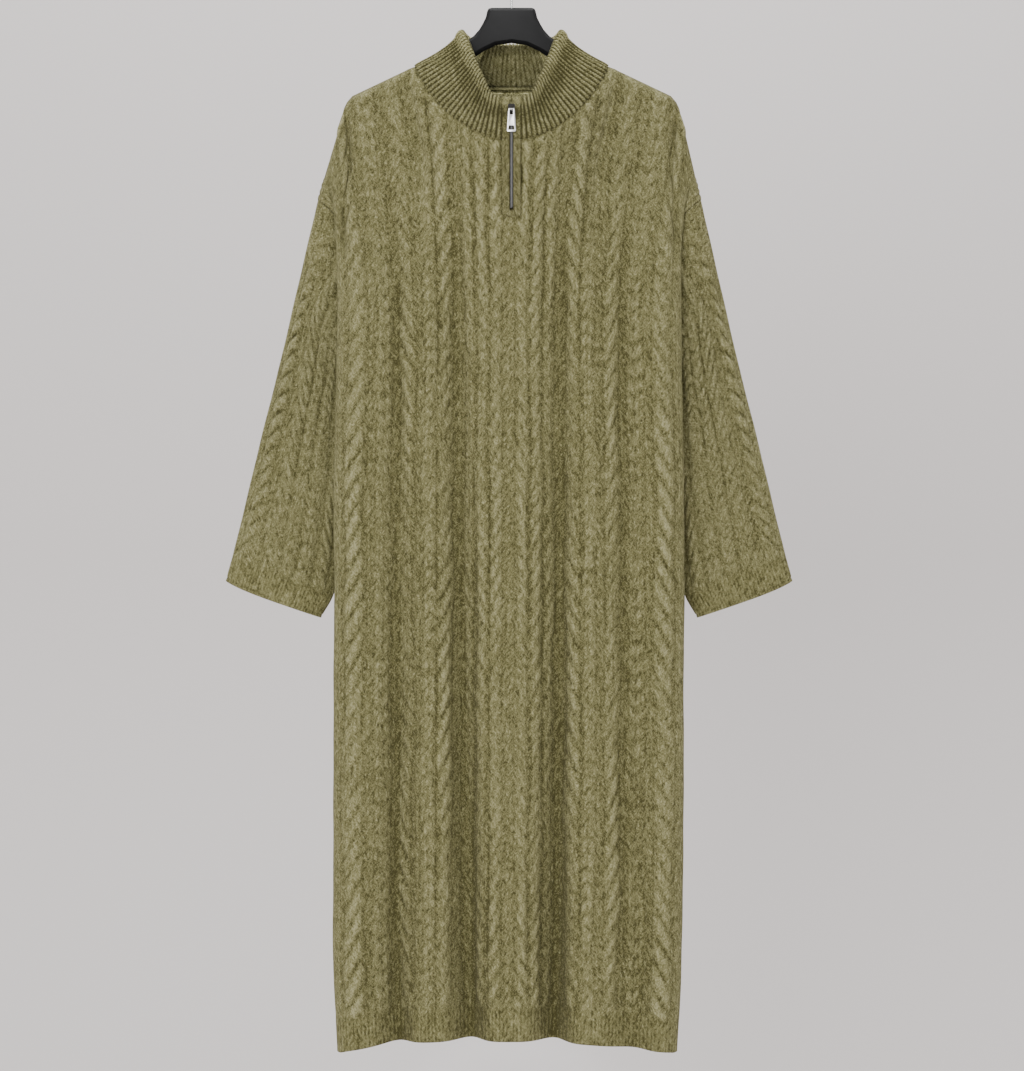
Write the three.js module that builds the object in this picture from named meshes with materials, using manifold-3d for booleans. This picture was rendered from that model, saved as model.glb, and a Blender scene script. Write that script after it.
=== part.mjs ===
// A long cable-knit sweater dress with a half-zip stand collar, hanging on a plastic hanger.
// Millimetres, +Z up, the front of the dress towards -Y. The origin is the inside top of the hook.

import * as THREE from "three";
import { mergeVertices } from "three/addons/utils/BufferGeometryUtils.js";
import Module from "manifold-3d";

const wasm = await Module();
wasm.setup();

// Driving sizes of the cloth
const WALL = 3;
const SEAM_GAP = 0.4;
const CABLE_RAISE = 2.6;
const CABLE_LOW = 0.5;
const BODY_TURN = 32;
const SLEEVE_TURN = 26;
const HEM_BAND = 42;
const CUFF_BAND = 40;

// The panel measured flat from its middle: the face, the turn at the side, and the side seam
const FACE = 190;
const TURN = 236;
const SEAM = 266;
const CORNER = 34;
const EDGE_Y = -22;
const SEAM_Y = 10;
const BACK_FACE = 206;

// Neck and shoulder
const NECK_FLAT = 106;
const NECK_HALF = 124;
const NECK_POINT_Z = -150;
const NECK_FRONT_DROP = 106;
const NECK_BACK_DROP = 18;
const NECK_FRONT_Y = 62;
const NECK_BACK_Y = 46;
const SHOULDER_ROUND = 14;
const ROUND_REACH = 16;
const UNDERARM_Z = -490;
const NECK_SPREAD = { out: 9, width: 18, rise: 6, full: 20, end: 120 };

// Half widths and depths of the body by height
const BODY = [
  { z: -1430, half: 219, seam: 219, front: 47, back: 46 },
  { z: -1300, half: 225, seam: 225, front: 46, back: 45 },
  { z: -930, half: 226, seam: 225, front: 44, back: 43 },
  { z: -832, half: 226, seam: 218, front: 43, back: 42 },
  { z: -700, half: 226, seam: 206, front: 42, back: 42 },
  { z: -600, half: 224, seam: 199, front: 42, back: 42 },
  { z: -490, half: 222, seam: 197, front: 42, back: 42 },
];

// Soft vertical folds: where each valley runs, how deep it is at the underarm and at the hem
const FRONT_FOLDS = [
  { top: -146, hem: -144, depthTop: 8, depthHem: 25, width: 23 },
  { top: -72, hem: -52, depthTop: 7, depthHem: 26, width: 22 },
  { top: 68, hem: 61, depthTop: 9, depthHem: 31, width: 23 },
  { top: 141, hem: 160, depthTop: 6, depthHem: 12, width: 24 },
];
const BACK_FOLDS = [
  { top: -118, hem: -128, depthTop: 6, depthHem: 22, width: 26 },
  { top: -24, hem: -14, depthTop: 5, depthHem: 20, width: 24 },
  { top: 84, hem: 100, depthTop: 7, depthHem: 24, width: 26 },
];

// The shoulder and the dropped shoulder as an outline: flat place, width and height
const SHOULDER = [
  { flat: 106, x: 124, z: -150 },
  { flat: 170, x: 207, z: -189.5 },
  { flat: 178, x: 214, z: -197.5 },
  { flat: 184, x: 218, z: -206 },
  { flat: 194, x: 221.5, z: -221 },
  { flat: 266, x: 249, z: -325 },
];

// The whole garment leans a little to the wearer's right on its way down
const SWAY = [
  { z: -1430, x: -5.5 },
  { z: -900, x: -3.2 },
  { z: -330, x: -2.6 },
  { z: -225, x: 0 },
  { z: 0, x: 0 },
];

// Sleeve edges from the armhole to the cuff
const SLEEVE_INNER = [
  { s: 0, x: 197, z: -490 },
  { s: 0.12, x: 204, z: -530 },
  { s: 0.5, x: 211, z: -670 },
  { s: 0.9, x: 228, z: -832 },
  { s: 1, x: 246, z: -868 },
];
const SLEEVE_OUTER = [
  { s: 0, x: 249, z: -325 },
  { s: 1, x: 370.5, z: -825 },
];
const SLEEVE_Y = 19;
const SLEEVE_DEPTH = 15;

// Collar: its top edge on one side, from the middle of the front to the middle of the back
const COLLAR_TOP = [
  { x: 0, y: -52, z: -201 },
  { x: 23, y: -50, z: -197 },
  { x: 37, y: -40, z: -171 },
  { x: 47.5, y: -28, z: -145 },
  { x: 58, y: -13, z: -117 },
  { x: 63.5, y: 2, z: -105 },
  { x: 56, y: 25, z: -108 },
  { x: 36, y: 39, z: -112 },
  { x: 0, y: 45, z: -114 },
];
const COLLAR_WALL = 5;
const COLLAR_RIBS = 96;
const RIB_RAISE = 1.6;
const COLLAR_PROUD = 0.6;
const COLLAR_BULGE = 3;
const CORNER_GAP = 2.8;

// Zip and placket
const SLOT_HALF = 3;
const ZIP_BOTTOM_Z = -345;
const PLACKET_HALF = 12;
const PLACKET_BOTTOM_Z = -353;
const PLACKET_RAISE = 1.6;
const PLACKET_TOP_Z = -256.6;
const PLACKET_LIFT = 0.5;
const SLIT = 0.6;
const SLIT_BOTTOM_Z = -208;
const CHAIN_HALF = 2.7;
const CHAIN_TOP_Z = -222.8;
const CHAIN_PROUD = 0.6;
const CHAIN_DEPTH = 2.2;

// Slider, its bridge, and the pull tab measured from the bar that it turns on
const SLIDER_Z = -217.5;
const SLIDER = { lift: 0.3, depth: 3, topHalf: 4.5, bottomHalf: 3.6, top: 6, bottom: -5, neckWidth: 4.6 };
const SLIDER_CORNER = 1.6;
const BRIDGE = { width: 2.4, wall: 1.2, opening: 3.4, top: 3.5, bottom: -4.5 };
const PIVOT = { out: 5.3, up: -1.9 };
const PULL = {
  topHalf: 4.1,
  bottomHalf: 5.75,
  length: 29.4,
  depth: 1.6,
  barRadius: 0.9,
  slotHalf: 2.2,
  slotEnd: 7.4,
  windowHalf: 3.5,
  windowTop: -21.4,
  windowBottom: -26.8,
  lean: 2,
};

// Hanger and hook
const HANGER_HALF = 5;
const HANGER_RIM = 1.5;
const HANGER_BEVEL = 4;
const WIRE_RADIUS = 1.7;
const BORE_PLAY = 0.3;
const BORE_HALF = 20;
const HOOK_RADIUS = 23.7;
const HOOK_END_Z = -92;

const knit = new THREE.MeshStandardMaterial({ color: 0x857d5a, roughness: 0.95, metalness: 0 });
const plastic = new THREE.MeshStandardMaterial({ color: 0x2e2e2e, roughness: 0.4, metalness: 0 });
const chrome = new THREE.MeshStandardMaterial({ color: 0xc8c8c6, roughness: 0.25, metalness: 1 });
const teeth = new THREE.MeshStandardMaterial({ color: 0x5e5c50, roughness: 0.4, metalness: 0.9 });

const { lerp, clamp, smoothstep } = THREE.MathUtils;
const bell = (v) => Math.exp(-v * v);
const vec = (x, y, z) => new THREE.Vector3(x, y, z);

// Reads a table by its key, with a smooth curve through the rows
function curveAt(rows, key, at, name) {
  const up = rows[0][key] < rows[rows.length - 1][key] ? rows : [...rows].reverse();
  const v = clamp(at, up[0][key], up[up.length - 1][key]);
  let i = 0;
  while (i < up.length - 2 && up[i + 1][key] < v) i += 1;
  const slope = (j) => {
    const a = up[Math.max(j - 1, 0)];
    const b = up[Math.min(j + 1, up.length - 1)];
    return (b[name] - a[name]) / (b[key] - a[key]);
  };
  const span = up[i + 1][key] - up[i][key];
  const t = (v - up[i][key]) / span;
  const rise = up[i + 1][name] - up[i][name];
  const m0 = slope(i) * span;
  const m1 = slope(i + 1) * span;
  return up[i][name] + m0 * t + (3 * rise - 2 * m0 - m1) * t * t + (m0 + m1 - 2 * rise) * t ** 3;
}

// Reads a table by its key, straight between the rows
function lineAt(rows, key, at, name) {
  let i = 0;
  while (i < rows.length - 2 && rows[i + 1][key] < at) i += 1;
  const t = clamp((at - rows[i][key]) / (rows[i + 1][key] - rows[i][key]), 0, 1);
  return lerp(rows[i][name], rows[i + 1][name], t);
}

function sway(p) {
  p.x += curveAt(SWAY, "z", p.z, "x");
  return p;
}

// Height of the hem, lower at the sides and more so on the wearer's left
function hemZ(x, front) {
  if (!front) return -1411 - 13 * Math.pow(Math.abs(x) / 219, 2);
  const bend = x < 0 ? 4 : 1.9;
  return -1409 - 16 * Math.pow(Math.abs(x) / 219, bend);
}

function foldAt(folds, x, z) {
  const down = clamp((UNDERARM_Z - z) / 920, 0, 1);
  return folds.reduce((sum, f) => {
    const middle = lerp(f.top, f.hem, down);
    return sum + lerp(f.depthTop, f.depthHem, down) * bell((x - middle) / f.width);
  }, 0);
}

// A point of the body below the underarm: flat place from the middle, and height
function lowerPoint(flat, z, front) {
  const side = flat < 0 ? -1 : 1;
  const m = Math.abs(flat);
  const half = curveAt(BODY, "z", z, "half");
  const seam = curveAt(BODY, "z", z, "seam");
  const depth = curveAt(BODY, "z", z, front ? "front" : "back");
  let x;
  let y;
  if (front && m > TURN) {
    const u = (m - TURN) / (SEAM - TURN);
    x = half - (half - seam) * smoothstep(u, 0, 1);
    y = lerp(EDGE_Y, SEAM_Y, u);
  } else {
    const face = front ? FACE : BACK_FACE;
    const end = front ? TURN : SEAM;
    const reach = front ? half : seam;
    const turned = (Math.max(m - face, 0) / (end - face)) * (Math.PI / 2);
    const edge = front ? -EDGE_Y : SEAM_Y;
    x = m <= face ? (m * (reach - CORNER)) / face : reach - CORNER + CORNER * Math.sin(turned);
    y = edge + (depth - edge) * Math.cos(turned);
    const open = 1 - smoothstep(m, face - 12, end);
    y -= open * foldAt(front ? FRONT_FOLDS : BACK_FOLDS, side * x, z);
    if (front) y = -y;
  }
  return vec(side * x, y, z);
}

// The top edge of a panel: neckline, shoulder and dropped shoulder
function topPoint(flat, front) {
  const side = flat < 0 ? -1 : 1;
  const m = Math.abs(flat);
  if (m > NECK_FLAT)
    return vec(side * lineAt(SHOULDER, "flat", m, "x"), 0, lineAt(SHOULDER, "flat", m, "z"));
  const sine = m / NECK_FLAT;
  const cosine = Math.sqrt(Math.max(1 - sine * sine, 0));
  if (front)
    return vec(
      side * NECK_HALF * sine,
      -NECK_FRONT_Y * cosine,
      NECK_POINT_Z - NECK_FRONT_DROP * Math.pow(cosine, 1.6),
    );
  return vec(side * NECK_HALF * sine, NECK_BACK_Y * cosine, NECK_POINT_Z - NECK_BACK_DROP * cosine);
}

// A point of the body above the underarm: t runs from the underarm to the top edge
function upperPoint(flat, t, front) {
  const m = Math.abs(flat);
  const start = lowerPoint(flat, UNDERARM_Z, front);
  const end = topPoint(flat, front);
  const lean = lerp(1.5, front ? 4.5 : 2.6, smoothstep(m, FACE, SEAM));
  const down = (1 - t) * start.distanceTo(end);
  const roundAt = (depth) => Math.sqrt(1 - Math.pow(1 - clamp(depth / ROUND_REACH, 0, 1), 2));
  const below = Math.max(NECK_POINT_Z - end.z, 0) * (m < NECK_FLAT ? 1 : 0);
  const out = front ? -1 : 1;
  const rounding = roundAt(below + down) - roundAt(below);
  const round = out * SHOULDER_ROUND * smoothstep(m, 90, NECK_FLAT) * rounding;
  const p = vec(
    lerp(start.x, end.x, Math.pow(t, lean)),
    lerp(end.y + round, start.y, 1 - t),
    lerp(start.z, end.z, t),
  );
  const spread = 1 - Math.exp(-down / NECK_SPREAD.rise);
  const fade = 1 - smoothstep(down, NECK_SPREAD.full, NECK_SPREAD.end);
  p.x += Math.sign(flat) * NECK_SPREAD.out * bell((m - NECK_FLAT) / NECK_SPREAD.width) * spread * fade;
  if (front) {
    const valley = lerp(212, 184, smoothstep(t, 0.3, 1));
    p.y += 9 * bell((m - valley) / 9) * smoothstep(t, 0.3, 0.5) * Math.min(down / 24, 1);
  }
  return p;
}

// A plain point of a panel: q from 0 at the hem to 1 at the underarm, and on to 2 at the top edge
function panelPoint(flat, q, front) {
  const gap = front ? -SEAM_GAP / 2 : SEAM_GAP / 2;
  let p;
  if (q > 1) {
    p = upperPoint(flat, q - 1, front);
  } else {
    const hem = hemZ(Math.sign(flat) * Math.min(Math.abs(flat), 219), front);
    p = lowerPoint(flat, lerp(hem, UNDERARM_Z, q), front);
  }
  p.y += gap;
  return sway(p);
}

// Outward direction of a surface given by a function of two values
function normalOf(surface, a, b, stepA, stepB) {
  const along = surface(a + stepA, b).sub(surface(a - stepA, b));
  const up = surface(a, b + stepB[1]).sub(surface(a, b - stepB[0]));
  return along.cross(up).normalize();
}

function panelNormal(flat, q, front) {
  const below = q > 1.997 ? 0.002 : 0.001;
  const above = q > 1.997 || q < 0.001 ? 0 : 0.001;
  const steps = q < 0.001 ? [0, 0.001] : [below, above];
  const limit = Math.abs(flat) >= SEAM ? Math.sign(flat) * (SEAM - 0.5) : flat;
  const n = normalOf((a, b) => panelPoint(a, b, front), limit, q, 0.5, steps);
  if (!front) n.negate();
  const onSeam = Math.abs(flat) >= SEAM && (q <= 1 || q >= 2);
  const onShoulder = Math.abs(flat) >= NECK_FLAT && q >= 2;
  if (onSeam || onShoulder) n.setY(0).normalize();
  return n;
}

// Faces between two rows of points that share a running value; ties say which side steps first
function zip(a, b, faces, secondFirst = false, flip = false) {
  let i = 0;
  let j = 0;
  while (i < a.length - 1 || j < b.length - 1) {
    const nextA = i < a.length - 1 ? (a[i].k + a[i + 1].k) / 2 : Infinity;
    const nextB = j < b.length - 1 ? (b[j].k + b[j + 1].k) / 2 : Infinity;
    const tie = Math.abs(nextA - nextB) < 1e-9;
    const stepA = tie ? !secondFirst : nextA < nextB;
    const face = stepA ? [a[i].i, b[j].i, a[i + 1].i] : [a[i].i, b[j].i, b[j + 1].i];
    faces.push(flip ? face.reverse() : face);
    if (stepA) i += 1;
    else j += 1;
  }
}

// A closed wall from outer and inner columns of points. A column is { s, slash, rows: [{ k, p }] },
// and the columns run so that the outer side faces out; a round wall joins its last column to its first.
function wallGeometry(outer, inner, round) {
  const points = [];
  const faces = [];
  const place = (columns) =>
    columns.map((c) => ({
      ...c,
      rows: c.rows.map((r) => {
        points.push(r.p);
        return { k: r.k, i: points.length - 1 };
      }),
    }));
  const out = place(outer);
  const ins = place(inner);
  const closing = (columns) => (round ? [...columns, { ...columns[0], s: columns[0].s + 1e6 }] : columns);
  const ringOut = closing(out);
  const ringIn = closing(ins);
  for (let c = 0; c < ringOut.length - 1; c += 1)
    zip(ringOut[c].rows, ringOut[c + 1].rows, faces, ringOut[c].slash === 1);
  for (let c = 0; c < ringIn.length - 1; c += 1)
    zip(ringIn[c].rows, ringIn[c + 1].rows, faces, ringIn[c].slash === 1, true);
  const ends = (columns, pick) => columns.map((c) => ({ k: c.s, i: pick(c.rows).i }));
  const first = (rows) => rows[0];
  const last = (rows) => rows[rows.length - 1];
  zip(ends(ringIn, first), ends(ringOut, first), faces, false, true);
  zip(ends(ringIn, last), ends(ringOut, last), faces);
  if (!round) {
    zip(ins[0].rows, out[0].rows, faces);
    zip(ins[ins.length - 1].rows, out[out.length - 1].rows, faces, false, true);
  }
  const geometry = new THREE.BufferGeometry();
  const positions = points.flatMap((p) => p.toArray());
  geometry.setAttribute("position", new THREE.Float32BufferAttribute(positions, 3));
  geometry.setIndex(faces.flat());
  geometry.computeVertexNormals();
  return geometry;
}

// Cables of a panel on one side of its middle: where each lies, its width, and the way it turns.
// A narrow one is a single row of loops.
const BODY_CABLES = [
  { at: 25, width: 24, turn: -1 },
  { at: 47.5, width: 13, turn: 1 },
  { at: 82, width: 16, turn: -1 },
  { at: 100, width: 0, turn: 0 },
  { at: 132, width: 17, turn: 1 },
  { at: 163, width: 0, turn: 0 },
  { at: 195, width: 21, turn: -1 },
];
const BODY_PLAIN = [0, 13, 38, 57, 72, 93, 103, 106, 121, 144, 155, 172, 182, 208, 222, 236, 250, 266];
const BODY_INNER = [0, 25, 38, 57, 72, 93, 100, 103, 106, 144, 155, 172, 208, 222, 236, 250, 266];

// The columns of a panel from its middle outwards, plain ones and both crests of each cable
function halfColumns() {
  const columns = BODY_PLAIN.map((flat) => ({ flat, crest: 0, turn: -1 }));
  BODY_CABLES.forEach((c) => {
    if (c.width === 0) {
      columns.push({ flat: c.at, crest: 1, turn: -1 });
    } else {
      columns.push({ flat: c.at - c.width / 4, crest: 1, turn: c.turn });
      columns.push({ flat: c.at + c.width / 4, crest: 2, turn: c.turn });
    }
  });
  return columns.sort((a, b) => a.flat - b.flat);
}

// Rows near the top edge, where the cloth rounds over the hanger, as distances below that edge
const ROUND_ROWS = [16, 4.5, 1.2, 0];

function columnRows(flat, crest, front, sparse) {
  const length = lowerPoint(flat, UNDERARM_Z, front).distanceTo(topPoint(flat, front));
  const hem = hemZ(Math.sign(flat) * Math.min(Math.abs(flat), 219), front);
  const lower = UNDERARM_Z - hem;
  const rows = [{ k: 0, raise: 0 }];
  if (crest) {
    const step = BODY_TURN / 2;
    const belowCount = Math.round((lower - HEM_BAND) / step);
    for (let i = 0; i <= belowCount; i += 1) {
      const k = lerp(HEM_BAND / lower, 1, i / belowCount);
      rows.push({ k, raise: i === 0 ? 0 : (i + crest) % 2 ? 1 : 2 });
    }
    const aboveCount = Math.round((length - 2 * ROUND_REACH) / step);
    for (let i = 1; i <= aboveCount; i += 1) {
      const k = 1 + ((i / aboveCount) * (length - 2 * ROUND_REACH)) / length;
      rows.push({ k, raise: (i + belowCount + crest) % 2 ? 1 : 2 });
    }
  } else {
    const count = sparse ? 5 : 7;
    for (let i = 1; i <= count; i += 1) rows.push({ k: i / count, raise: 0 });
    const part = Math.abs(flat) >= SEAM ? [0.15, 0.3, 0.45, 0.6, 0.72, 0.82] : [0.25, 0.5, 0.75];
    part.forEach((t) => rows.push({ k: 1 + t, raise: 0 }));
  }
  ROUND_ROWS.forEach((d) => rows.push({ k: d === 0 ? 2 : 2 - d / length, raise: 0 }));
  return rows;
}

function panel(front) {
  const half = halfColumns();
  const whole = [
    ...half
      .slice(1)
      .map((c) => ({ ...c, flat: -c.flat, crest: c.crest && 3 - c.crest, turn: -c.turn }))
      .reverse(),
    ...half,
  ];
  const order = front ? 1 : -1;
  const build = (columns, sparse, depth) =>
    columns
      .map((c) => {
        const rows = columnRows(c.flat, c.crest, front, sparse).map((r) => {
          const n = rimNormal(c.flat, r.k, front);
          const lift = r.raise === 2 ? CABLE_RAISE : r.raise === 1 ? CABLE_LOW : 0;
          const p = panelPoint(c.flat, r.k, front).addScaledVector(n, lift - depth);
          return { k: r.k, p };
        });
        return { s: c.flat * order, slash: c.turn * order, rows };
      })
      .sort((a, b) => a.s - b.s);
  const outer = build(whole, false, 0);
  const inner = build(
    [
      ...BODY_INNER.slice(1).map((v) => ({ flat: -v, crest: 0, turn: 1 })),
      ...BODY_INNER.map((v) => ({ flat: v, crest: 0, turn: -1 })),
    ],
    true,
    WALL,
  );
  return wallGeometry(outer, inner, false);
}

// Direction of a wall's rim: at the neck it is shared with the collar, so that the two rims lie parallel
function rimNormal(flat, q, front) {
  if (q < 2 || Math.abs(flat) > NECK_FLAT - 0.1) return panelNormal(flat, q, front);
  return neckNormal(flat, front);
}

function neckNormal(flat, front) {
  const here = panelPoint(flat, 2, front);
  const step = 2;
  const a = clamp(flat - step, -NECK_FLAT, NECK_FLAT);
  const b = clamp(flat + step, -NECK_FLAT, NECK_FLAT);
  const tangent = panelPoint(b, 2, front).sub(panelPoint(a, 2, front));
  const below = panelPoint(flat, 1.92, front);
  const above = collarTopAt(neckShare(flat, front), flat < 0 ? -1 : 1);
  const rise = above.sub(here).normalize().add(here.clone().sub(below).normalize());
  const n = tangent.cross(rise).normalize();
  return front ? n : n.negate();
}

// The neckline as the panels' columns make it, from the middle of the front to the middle of the back
const neckColumns = halfColumns()
  .filter((c) => c.flat <= NECK_FLAT)
  .map((c) => c.flat);
const neckLine = [
  ...neckColumns.map((flat) => ({ flat, front: true })),
  ...neckColumns.slice(0, -1).reverse().map((flat) => ({ flat, front: false })),
].map((c) => ({ ...c, p: panelPoint(c.flat, 2, c.front).setY(topPoint(c.flat, c.front).y) }));
neckLine.forEach((c, i) => {
  c.run = i === 0 ? 0 : neckLine[i - 1].run + c.p.distanceTo(neckLine[i - 1].p);
});
const neckLength = neckLine[neckLine.length - 1].run;
const neckPointShare = neckLine[neckColumns.length - 1].run / neckLength;

// How far round the neck, from 0 to 1, a column of a panel meets it
function neckShare(flat, front) {
  const i = neckLine.findIndex((c) => c.front === front && Math.abs(c.flat - Math.abs(flat)) < 1e-6);
  if (i >= 0) return neckLine[i].run / neckLength;
  const side = neckLine.filter((c) => c.front === front).sort((a, b) => a.flat - b.flat);
  return lineAt(side, "flat", Math.abs(flat), "run") / neckLength;
}

const collarTopCurve = new THREE.CatmullRomCurve3([
  vec(-COLLAR_TOP[1].x, COLLAR_TOP[1].y, COLLAR_TOP[1].z),
  ...COLLAR_TOP.map((r) => vec(r.x, r.y, r.z)),
  vec(-COLLAR_TOP[7].x, COLLAR_TOP[7].y, COLLAR_TOP[7].z),
]);
const topLengths = collarTopCurve.getLengths(400);
const topStart = topLengths[40];
const topEnd = topLengths[360];

function collarTopAt(share, side) {
  const p = collarTopCurve.getPointAt(lerp(topStart, topEnd, share) / topLengths[400]);
  p.x *= side;
  return p;
}

// A point of the neckline and its outward direction, at a share of the way round
function neckAt(share, side) {
  const run = share * neckLength;
  let i = 0;
  while (i < neckLine.length - 2 && neckLine[i + 1].run < run) i += 1;
  const a = neckLine[i];
  const b = neckLine[i + 1];
  const t = (run - a.run) / (b.run - a.run);
  const n = rimNormal(a.flat * side, 2, a.front).lerp(rimNormal(b.flat * side, 2, b.front), t).normalize();
  const p = a.p.clone().lerp(b.p, t);
  return { p: vec(p.x * side, p.y, p.z), n };
}

// One column of the collar, from the neckline to the top edge: `around` runs once round from the middle
// of the front, by way of the wearer's left
function collarColumn(around) {
  const share = around <= 0.5 ? around * 2 : (1 - around) * 2;
  const side = around <= 0.5 ? 1 : -1;
  const base = neckAt(share, side);
  const top = collarTopAt(share, side);
  const rise = top.clone().sub(base.p);
  const tangent = neckAt(Math.min(share + 0.01, 1), side).p.sub(neckAt(Math.max(share - 0.01, 0), side).p);
  const n = tangent.multiplyScalar(side).cross(rise).normalize();
  const corner = bell((share - neckPointShare) / 0.1);
  const foot = base.p.clone().addScaledVector(rise.clone().normalize(), SEAM_GAP + CORNER_GAP * corner);
  const banded = Math.abs(top.x) < PLACKET_HALF && top.y < 0;
  const at = (v, off) => {
    const dir = base.n.clone().lerp(n, smoothstep(v, 0, 0.4)).normalize();
    const bulge = COLLAR_BULGE * Math.sin(Math.PI * v);
    return foot.clone().addScaledVector(rise, v).addScaledVector(dir, bulge + off);
  };
  return { at, banded };
}

// Collar: a ribbed band from the neckline to its rounded top edge, plain beside the zip
function collar() {
  const count = COLLAR_RIBS * 2;
  const face = COLLAR_PROUD;
  const back = COLLAR_PROUD - COLLAR_WALL;
  const outer = [];
  for (let step = 0; step < count; step += 1) {
    const c = collarColumn(step / count);
    const raise = c.banded ? PLACKET_RAISE : step % 2 ? RIB_RAISE : 0;
    outer.push({
      s: step / count,
      rows: [
        { k: 0, p: c.at(0, face + raise) },
        { k: 1, p: c.at(0.45, face + raise) },
        { k: 2, p: c.at(0.9, face + raise) },
        { k: 3, p: c.at(1, (face + back) / 2 + raise) },
        { k: 4, p: c.at(0.95, back) },
      ],
    });
  }
  const shares = neckLine.filter((c) => BODY_INNER.includes(c.flat)).map((c) => c.run / neckLength);
  const rounds = [...shares.map((v) => v / 2), ...shares.slice(1, -1).map((v) => 1 - v / 2)];
  const inner = rounds
    .sort((a, b) => a - b)
    .map((around) => {
      const c = collarColumn(around);
      return { s: around, rows: [0, 0.5, 0.9].map((v) => ({ k: v, p: c.at(v, back) })) };
    });
  return wallGeometry(outer, inner, true);
}

// Armhole edge as the panels' seam columns make it: share 0 at the underarm, 1 at the shoulder
function armholeEdge(share, front, side, depth) {
  const rows = columnRows(SEAM * side, 0, front, false).filter((r) => r.k >= 1);
  const q = 1 + share;
  let i = 0;
  while (i < rows.length - 2 && rows[i + 1].k < q) i += 1;
  const t = clamp((q - rows[i].k) / (rows[i + 1].k - rows[i].k), 0, 1);
  const point = (k) =>
    panelPoint(SEAM * side, k, front).addScaledVector(panelNormal(SEAM * side, k, front), -depth);
  return point(rows[i].k).lerp(point(rows[i + 1].k), t);
}

// A plain point of a sleeve: s from armhole to cuff, c once round from the underarm by way of the front
function sleevePoint(s, c, side) {
  const share = (1 - Math.cos(2 * Math.PI * c)) / 2;
  const inner = { x: curveAt(SLEEVE_INNER, "s", s, "x"), z: curveAt(SLEEVE_INNER, "s", s, "z") };
  const outer = { x: curveAt(SLEEVE_OUTER, "s", s, "x"), z: curveAt(SLEEVE_OUTER, "s", s, "z") };
  const swell = Math.pow(Math.abs(Math.sin(2 * Math.PI * c)), 0.75) * Math.sign(Math.sin(2 * Math.PI * c));
  const droop = 5 * smoothstep(s, 0.9, 1) * Math.pow(share, 6);
  const p = vec(
    lerp(inner.x, outer.x, share),
    lerp(8, SLEEVE_Y, smoothstep(s, 0, 0.3)) - swell * SLEEVE_DEPTH,
    lerp(inner.z, outer.z, share) + droop,
  );
  p.x *= side;
  return sway(p);
}

function sleeveBlend(s, c, side, depth) {
  const front = c <= 0.5;
  const share = (1 - Math.cos(2 * Math.PI * c)) / 2;
  const seam = armholeEdge(share, front, side, depth);
  seam.x += side * SEAM_GAP * 0.5;
  seam.z -= SEAM_GAP * 0.9;
  if (s <= 0) return seam;
  const free = sleevePoint(s, c, side);
  if (depth) free.addScaledVector(sleeveNormal(s, c, side), -depth);
  const start = sleevePoint(0, c, side);
  if (depth) start.addScaledVector(sleeveNormal(0, c, side), -depth);
  return free.add(seam.sub(start).multiplyScalar(1 - smoothstep(s, 0, 0.22)));
}

function sleeveNormal(s, c, side) {
  const lo = s < 0.005 ? 0 : 0.004;
  const hi = s > 0.995 ? 0 : 0.004;
  const n = normalOf((a, b) => sleevePoint(b, a, side), c, s, 0.004, [lo, hi]);
  return n.multiplyScalar(-side);
}

// Cables of a sleeve: place round from the underarm by way of the front, width and turn
const SLEEVE_CABLES = [
  { at: 0.12, width: 0.045, turn: 1 },
  { at: 0.21, width: 0, turn: 0 },
  { at: 0.29, width: 0.04, turn: 1 },
  { at: 0.385, width: 0.055, turn: -1 },
  { at: 0.615, width: 0.055, turn: 1 },
  { at: 0.71, width: 0.04, turn: -1 },
  { at: 0.79, width: 0, turn: 0 },
  { at: 0.88, width: 0.045, turn: -1 },
];
const SLEEVE_PLAIN = [
  0, 0.04, 0.08, 0.165, 0.25, 0.335, 0.43, 0.465, 0.5, 0.535, 0.57, 0.665, 0.75, 0.835, 0.92, 0.96,
];
const SLEEVE_LENGTH = 470;
const SLEEVE_FIRST_CABLE = 0.09;

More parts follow.
